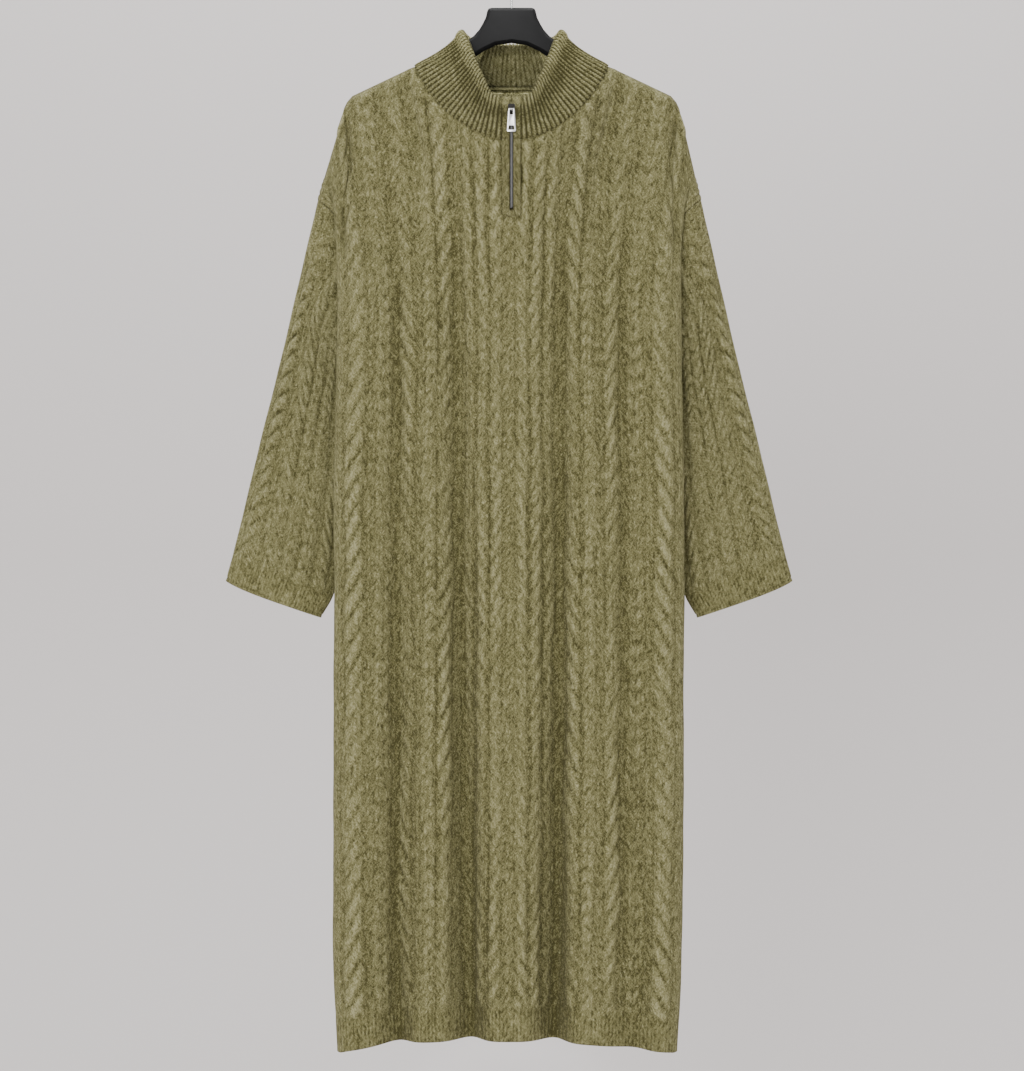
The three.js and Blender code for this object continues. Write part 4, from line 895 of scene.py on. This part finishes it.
def wool(name, tone_scale=1.0, columns=5.2, rows=4.2, lift=0.19, rough_knit=1.0):
    material = bpy.data.materials.new(name)
    tree, node, maths = node_tools(material)
    place = node("ShaderNodeTexCoord").outputs["Object"]
    cloth = node("ShaderNodeSeparateXYZ", {0: node("ShaderNodeUVMap", uv_map="cloth").outputs[0]})
    painted_shade = node("ShaderNodeAttribute", attribute_name="painted_shade").outputs["Fac"]
    band = node("ShaderNodeAttribute", attribute_name="band").outputs["Fac"]

    def noise(scale, detail, rough=0.6, stretch=(1, 1, 1), distortion=0.0, leaning=0.0):
        turned = node("ShaderNodeMapping", {"Vector": place, "Rotation": (0, leaning, 0)}).outputs[0]
        vector = node("ShaderNodeMapping", {"Vector": turned, "Scale": stretch}).outputs[0]
        return node("ShaderNodeTexNoise", {"Vector": vector, "Scale": scale, "Detail": detail,
                                           "Roughness": rough, "Distortion": distortion})

    def centred(value, weight):
        return maths("MULTIPLY_ADD", value, weight, -weight / 2)

    push = node("ShaderNodeSeparateColor", {0: noise(150, 2).outputs["Color"]})
    push_u = centred(push.outputs[0], 8 * MM * rough_knit)
    push_v = centred(push.outputs[1], 10 * MM * rough_knit)
    u, v = maths("ADD", cloth.outputs[0], push_u), maths("ADD", cloth.outputs[1], push_v)

    # A knit column: the two legs of each stitch lean towards its middle, and rows of them make small Vs
    side = maths("PINGPONG", u, columns * MM / 2)
    wale = maths("ABSOLUTE", maths("SINE", maths("MULTIPLY", u, math.pi / (columns * MM))))
    turn = maths("MULTIPLY_ADD", side, 1.6 / (rows * MM), maths("DIVIDE", v, rows * MM))
    legs = maths("MULTIPLY_ADD", maths("SINE", maths("MULTIPLY", turn, 2 * math.pi)), 0.5, 0.5)
    knit = maths("MULTIPLY", maths("MULTIPLY_ADD", wale, 0.55, 0.45), legs)
    rib = maths("ABSOLUTE", maths("SINE", maths("MULTIPLY", cloth.outputs[0], math.pi / (4.6 * MM))))
    rib = maths("MULTIPLY_ADD", rib, 0.5, maths("MULTIPLY", knit, 0.5))
    off_band = maths("MULTIPLY", knit, maths("SUBTRACT", 1.0, band))
    stitches = maths("ADD", off_band, maths("MULTIPLY", rib, band))

    lumps = noise(330, 2.5, 0.62, (1, 1, 0.6), 0.5).outputs["Fac"]
    squiggle = maths("ABSOLUTE", centred(noise(240, 2, 0.55, (1, 1, 0.6), 1.4).outputs["Fac"], 2.0))
    columns_turn = maths("GREATER_THAN", maths("SINE", maths("MULTIPLY", u, 2 * math.pi / (34 * MM))), 0.0)
    strokes = [noise(330, 2, 0.6, (1, 1, 0.3), 0.3, leaning).outputs["Fac"] for leaning in (-0.42, 0.42)]
    stroke = node("ShaderNodeMix", {0: columns_turn, 2: strokes[0], 3: strokes[1]}).outputs[0]
    fibres = noise(620, 3, 0.7, (1, 1, 0.45), 0.8).outputs["Fac"]
    height = maths("ADD", maths("MULTIPLY", stitches, 0.5), maths("MULTIPLY", fibres, 0.35))
    height = maths("ADD", height, maths("MULTIPLY_ADD", lumps, 1.2, maths("MULTIPLY", squiggle, 0.8)))
    height = maths("MULTIPLY_ADD", stroke, 1.6, height)
    bump = node("ShaderNodeBump", {"Strength": 1.0, "Distance": 1.3 * MM, "Height": height})

    # Colour: heathered yarn, with painted shade between the stitches and the cables and painted light on their
    # crests
    tone = maths("ADD", centred(lumps, 1.0), centred(fibres, 0.8))
    tone = maths("ADD", tone, centred(stroke, 1.25))
    # Painted shade: the ribbed hem and cuff bands are darker
    tone = maths("MULTIPLY_ADD", band, -0.12, tone)
    tone = maths("ADD", tone, maths("MULTIPLY_ADD", squiggle, 0.8, -0.16))
    tone = maths("ADD", tone, maths("MULTIPLY_ADD", stitches, 0.42, -0.16))
    tone = maths("ADD", tone, centred(noise(24, 3).outputs["Fac"], 0.30))
    # Painted shade from the vertex attribute: darker between the cables, in the fold valleys and on the collar,
    # lighter on the crests
    tone = maths("MULTIPLY_ADD", painted_shade, lift, tone)
    ramp = node("ShaderNodeValToRGB", {0: maths("ADD", tone, 0.5, clamp=True)})
    stops = ((0.0, (0.066, 0.061, 0.021)), (0.25, (0.142, 0.133, 0.054)), (0.5, (0.219, 0.208, 0.094)),
             (0.75, (0.296, 0.281, 0.138)), (1.0, (0.41, 0.390, 0.210)))
    while len(ramp.color_ramp.elements) < len(stops):
        ramp.color_ramp.elements.new(0.5)
    for element, (at, colour) in zip(ramp.color_ramp.elements, stops):
        element.position, element.color = at, tuple(c * tone_scale for c in colour) + (1,)
    shader = node("ShaderNodeBsdfPrincipled", {
        "Base Color": ramp.outputs[0], "Roughness": 0.95, "Normal": bump.outputs[0],
        "Sheen Weight": 0.18, "Sheen Roughness": 0.5, "Sheen Tint": (0.60, 0.56, 0.38, 1.0),
        "Specular IOR Level": 0.1})
    tree.links.new(shader.outputs[0], node("ShaderNodeOutputMaterial").inputs[0])
    return material


knit_wool = wool("knit_wool")
# The rib and band wools are a little darker overall: painted shade for the deep ribs and the collar's hollow
rib_wool = wool("rib_wool", 0.90, 4.6, 3.6, 0.36, 0.3)
band_wool = wool("band_wool", 0.88, 4.0, 3.2, 0.25, 0.35)

# %% [markdown]
# Zip metal is bright where it is handled and dull between the teeth. The hanger is black moulded plastic
# with a fine grain, and its hook is plated wire. Fine noise in the roughness and a slight bump stop these
# from looking like bare computer surfaces.

# %% Metal and plastic
def hard(name, colour, metallic, roughness, grain, bump_mm, scale, shine=0.5):
    material = bpy.data.materials.new(name)
    tree, node, maths = node_tools(material)
    place = node("ShaderNodeTexCoord").outputs["Object"]
    fine = node("ShaderNodeTexNoise", {"Vector": place, "Scale": scale, "Detail": 4.0, "Roughness": 0.6})
    wear = node("ShaderNodeTexNoise", {"Vector": place, "Scale": scale / 12, "Detail": 3.0})
    rough = maths("ADD", maths("MULTIPLY_ADD", fine.outputs["Fac"], grain, roughness - grain / 2),
                  maths("MULTIPLY_ADD", wear.outputs["Fac"], grain, -grain / 2))
    bump = node("ShaderNodeBump", {"Strength": 0.5, "Distance": bump_mm * MM, "Height": fine.outputs["Fac"]})
    ramp = node("ShaderNodeValToRGB", {0: wear.outputs["Fac"]})
    ramp.color_ramp.elements[0].position, ramp.color_ramp.elements[1].position = 0.3, 0.7
    ramp.color_ramp.elements[0].color = tuple(c * 0.86 for c in colour) + (1,)
    ramp.color_ramp.elements[1].color = tuple(min(c * 1.08, 1) for c in colour) + (1,)
    shader = node("ShaderNodeBsdfPrincipled", {
        "Base Color": ramp.outputs[0], "Metallic": metallic, "Roughness": rough, "Normal": bump.outputs[0],
        "Specular IOR Level": shine})
    tree.links.new(shader.outputs[0], node("ShaderNodeOutputMaterial").inputs[0])
    return material


teeth_metal = hard("teeth_metal", (0.19, 0.19, 0.19), 1.0, 0.40, 0.12, 0.05, 2500)
# Painted shade: the slider body is a near-black copy of the zip metal, dark for the shadow round the bright
# bridge
shaded_slider_metal = hard("slider_metal_shaded", (0.05, 0.048, 0.045), 1.0, 0.45, 0.08, 0.03, 1800)
pull_metal = hard("pull_metal", (0.70, 0.69, 0.69), 1.0, 0.33, 0.08, 0.02, 1800)
hanger_plastic = hard("hanger_plastic", (0.0062, 0.0062, 0.0065), 0.0, 0.50, 0.10, 0.06, 1500, 0.14)
hook_metal = hard("hook_metal", (0.80, 0.80, 0.79), 1.0, 0.22, 0.06, 0.02, 1200)
tape_cloth = hard("tape_cloth", (0.045, 0.041, 0.025), 0.0, 0.9, 0.05, 0.3, 2600, 0.1)

# %% [markdown]
# Every piece now gets its material, rides on the body that carries it, and stands for its CAD solid.

# %% Ride and replace
def finish(piece, material, body, slot, *nodes):
    piece.data.materials.clear()
    piece.data.materials.append(material)
    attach(piece, body)
    if nodes:
        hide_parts(*nodes)


finish(front_panel, knit_wool, "garment", "knit", "front")
finish(back_panel, knit_wool, "garment", "knit", "back")
finish(sleeve_left, knit_wool, "garment", "knit", "sleeve_left")
finish(sleeve_right, knit_wool, "garment", "knit", "sleeve_right")
finish(collar_piece, rib_wool, "garment", "rib", "collar")
finish(placket_piece, band_wool, "garment", "rib", "placket")
finish(teeth_piece, teeth_metal, "garment", "zip_teeth", "zip_chain")
finish(tape_piece, tape_cloth, "garment", "rib")
finish(slider_piece, shaded_slider_metal, "garment", "zip_metal", "zip_slider")
finish(pull_piece, pull_metal, "pull_tab", "zip_metal", "zip_pull")
finish(hanger_piece, hanger_plastic, "garment", "hanger_plastic", "hanger")
finish(hook_piece, hook_metal, "garment", "hook_wire", "hook")
finish(bridge_piece, pull_metal, "garment", "zip_metal")
for seam in neck_seams:
    finish(seam, rib_wool, "garment", "rib")

# %% [markdown]
# The studio is one pale sweep of paper that curves up from the floor into a wall, so that no horizon shows.
# A bright white room gives most of the light. A weak soft light from the front and one over the wall leave
# only soft shade in the folds, and a narrow spot reaches into the neck.

# %% Studio
PAPER_NEAR, PAPER_HALF, PAPER_TALL, FLOOR_Z = -6.0, 5, 5.0, -2.0
CURVE_START, CURVE_RADIUS = 1.0, 1.2


def sweep():
    profile = [(PAPER_NEAR, 0.0)]
    for i in range(17):
        a = math.radians(90 * i / 16)
        profile.append((CURVE_START + CURVE_RADIUS * math.sin(a), CURVE_RADIUS * (1 - math.cos(a))))
    profile.append((CURVE_START + CURVE_RADIUS, PAPER_TALL))
    mesh = bpy.data.meshes.new("studio_sweep")
    points, faces = [], []
    for y, z in profile:
        points += [(-PAPER_HALF, y, z + FLOOR_Z), (PAPER_HALF, y, z + FLOOR_Z)]
    for i in range(len(profile) - 1):
        faces.append((2 * i, 2 * i + 1, 2 * i + 3, 2 * i + 2))
    mesh.from_pydata(points, [], faces)
    obj = bpy.data.objects.new("studio_sweep", mesh)
    bpy.context.scene.collection.objects.link(obj)
    mesh.polygons.foreach_set("use_smooth", np.ones(len(mesh.polygons), bool))
    paper = bpy.data.materials.new("studio_paper")
    tree, node, _ = node_tools(paper)
    shader = node("ShaderNodeBsdfPrincipled", {"Base Color": (0.73, 0.699, 0.69, 1), "Roughness": 0.95,
                                               "Specular IOR Level": 0.1})
    tree.links.new(shader.outputs[0], node("ShaderNodeOutputMaterial").inputs[0])
    mesh.materials.append(paper)
    obj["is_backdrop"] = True
    return obj


def softbox(name, place, target, size, power):
    light = bpy.data.lights.new(name, "AREA")
    light.shape = "RECTANGLE"
    light.size, light.size_y = size
    light.energy = power
    obj = bpy.data.objects.new(name, light)
    bpy.context.scene.collection.objects.link(obj)
    obj.location = place
    obj.rotation_euler = (Vector(target) - Vector(place)).to_track_quat("-Z", "Y").to_euler()


def snoot(power):
    """A narrow spot from above that reaches into the neck."""
    light = bpy.data.lights.new("neck_light", "SPOT")
    light.energy, light.spot_size, light.spot_blend = power, math.radians(7.5), 0.8
    light.shadow_soft_size = 0.04
    obj = bpy.data.objects.new("neck_light", light)
    bpy.context.scene.collection.objects.link(obj)
    place, target = Vector((0, -0.75, 0.75)), Vector((0, 0.035, -0.145))
    obj.location = place
    obj.rotation_euler = (target - place).to_track_quat("-Z", "Y").to_euler()


sweep()
softbox("key_light", (-0.9, -3.2, -0.1), (0, 0, -0.85), (1.4, 1.4), 56)
softbox("wall_light", (0, 0.3, 2.4), (0, 2.2, -0.7), (3.5, 0.8), 88)
snoot(85)
world = bpy.data.worlds.new("studio")
world.use_nodes = True
world.node_tree.nodes["Background"].inputs[0].default_value = (1.0, 0.985, 0.975, 1)
world.node_tree.nodes["Background"].inputs[1].default_value = 0.95
bpy.context.scene.world = world

# %% Measure and finish
bpy.context.view_layer.update()
as_list = lambda box: [[float(v) for v in corner] for corner in box]
{"cad": as_list(cad_box), "visual": as_list(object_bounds())}
print("boxes", as_list(cad_box), as_list(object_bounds()))
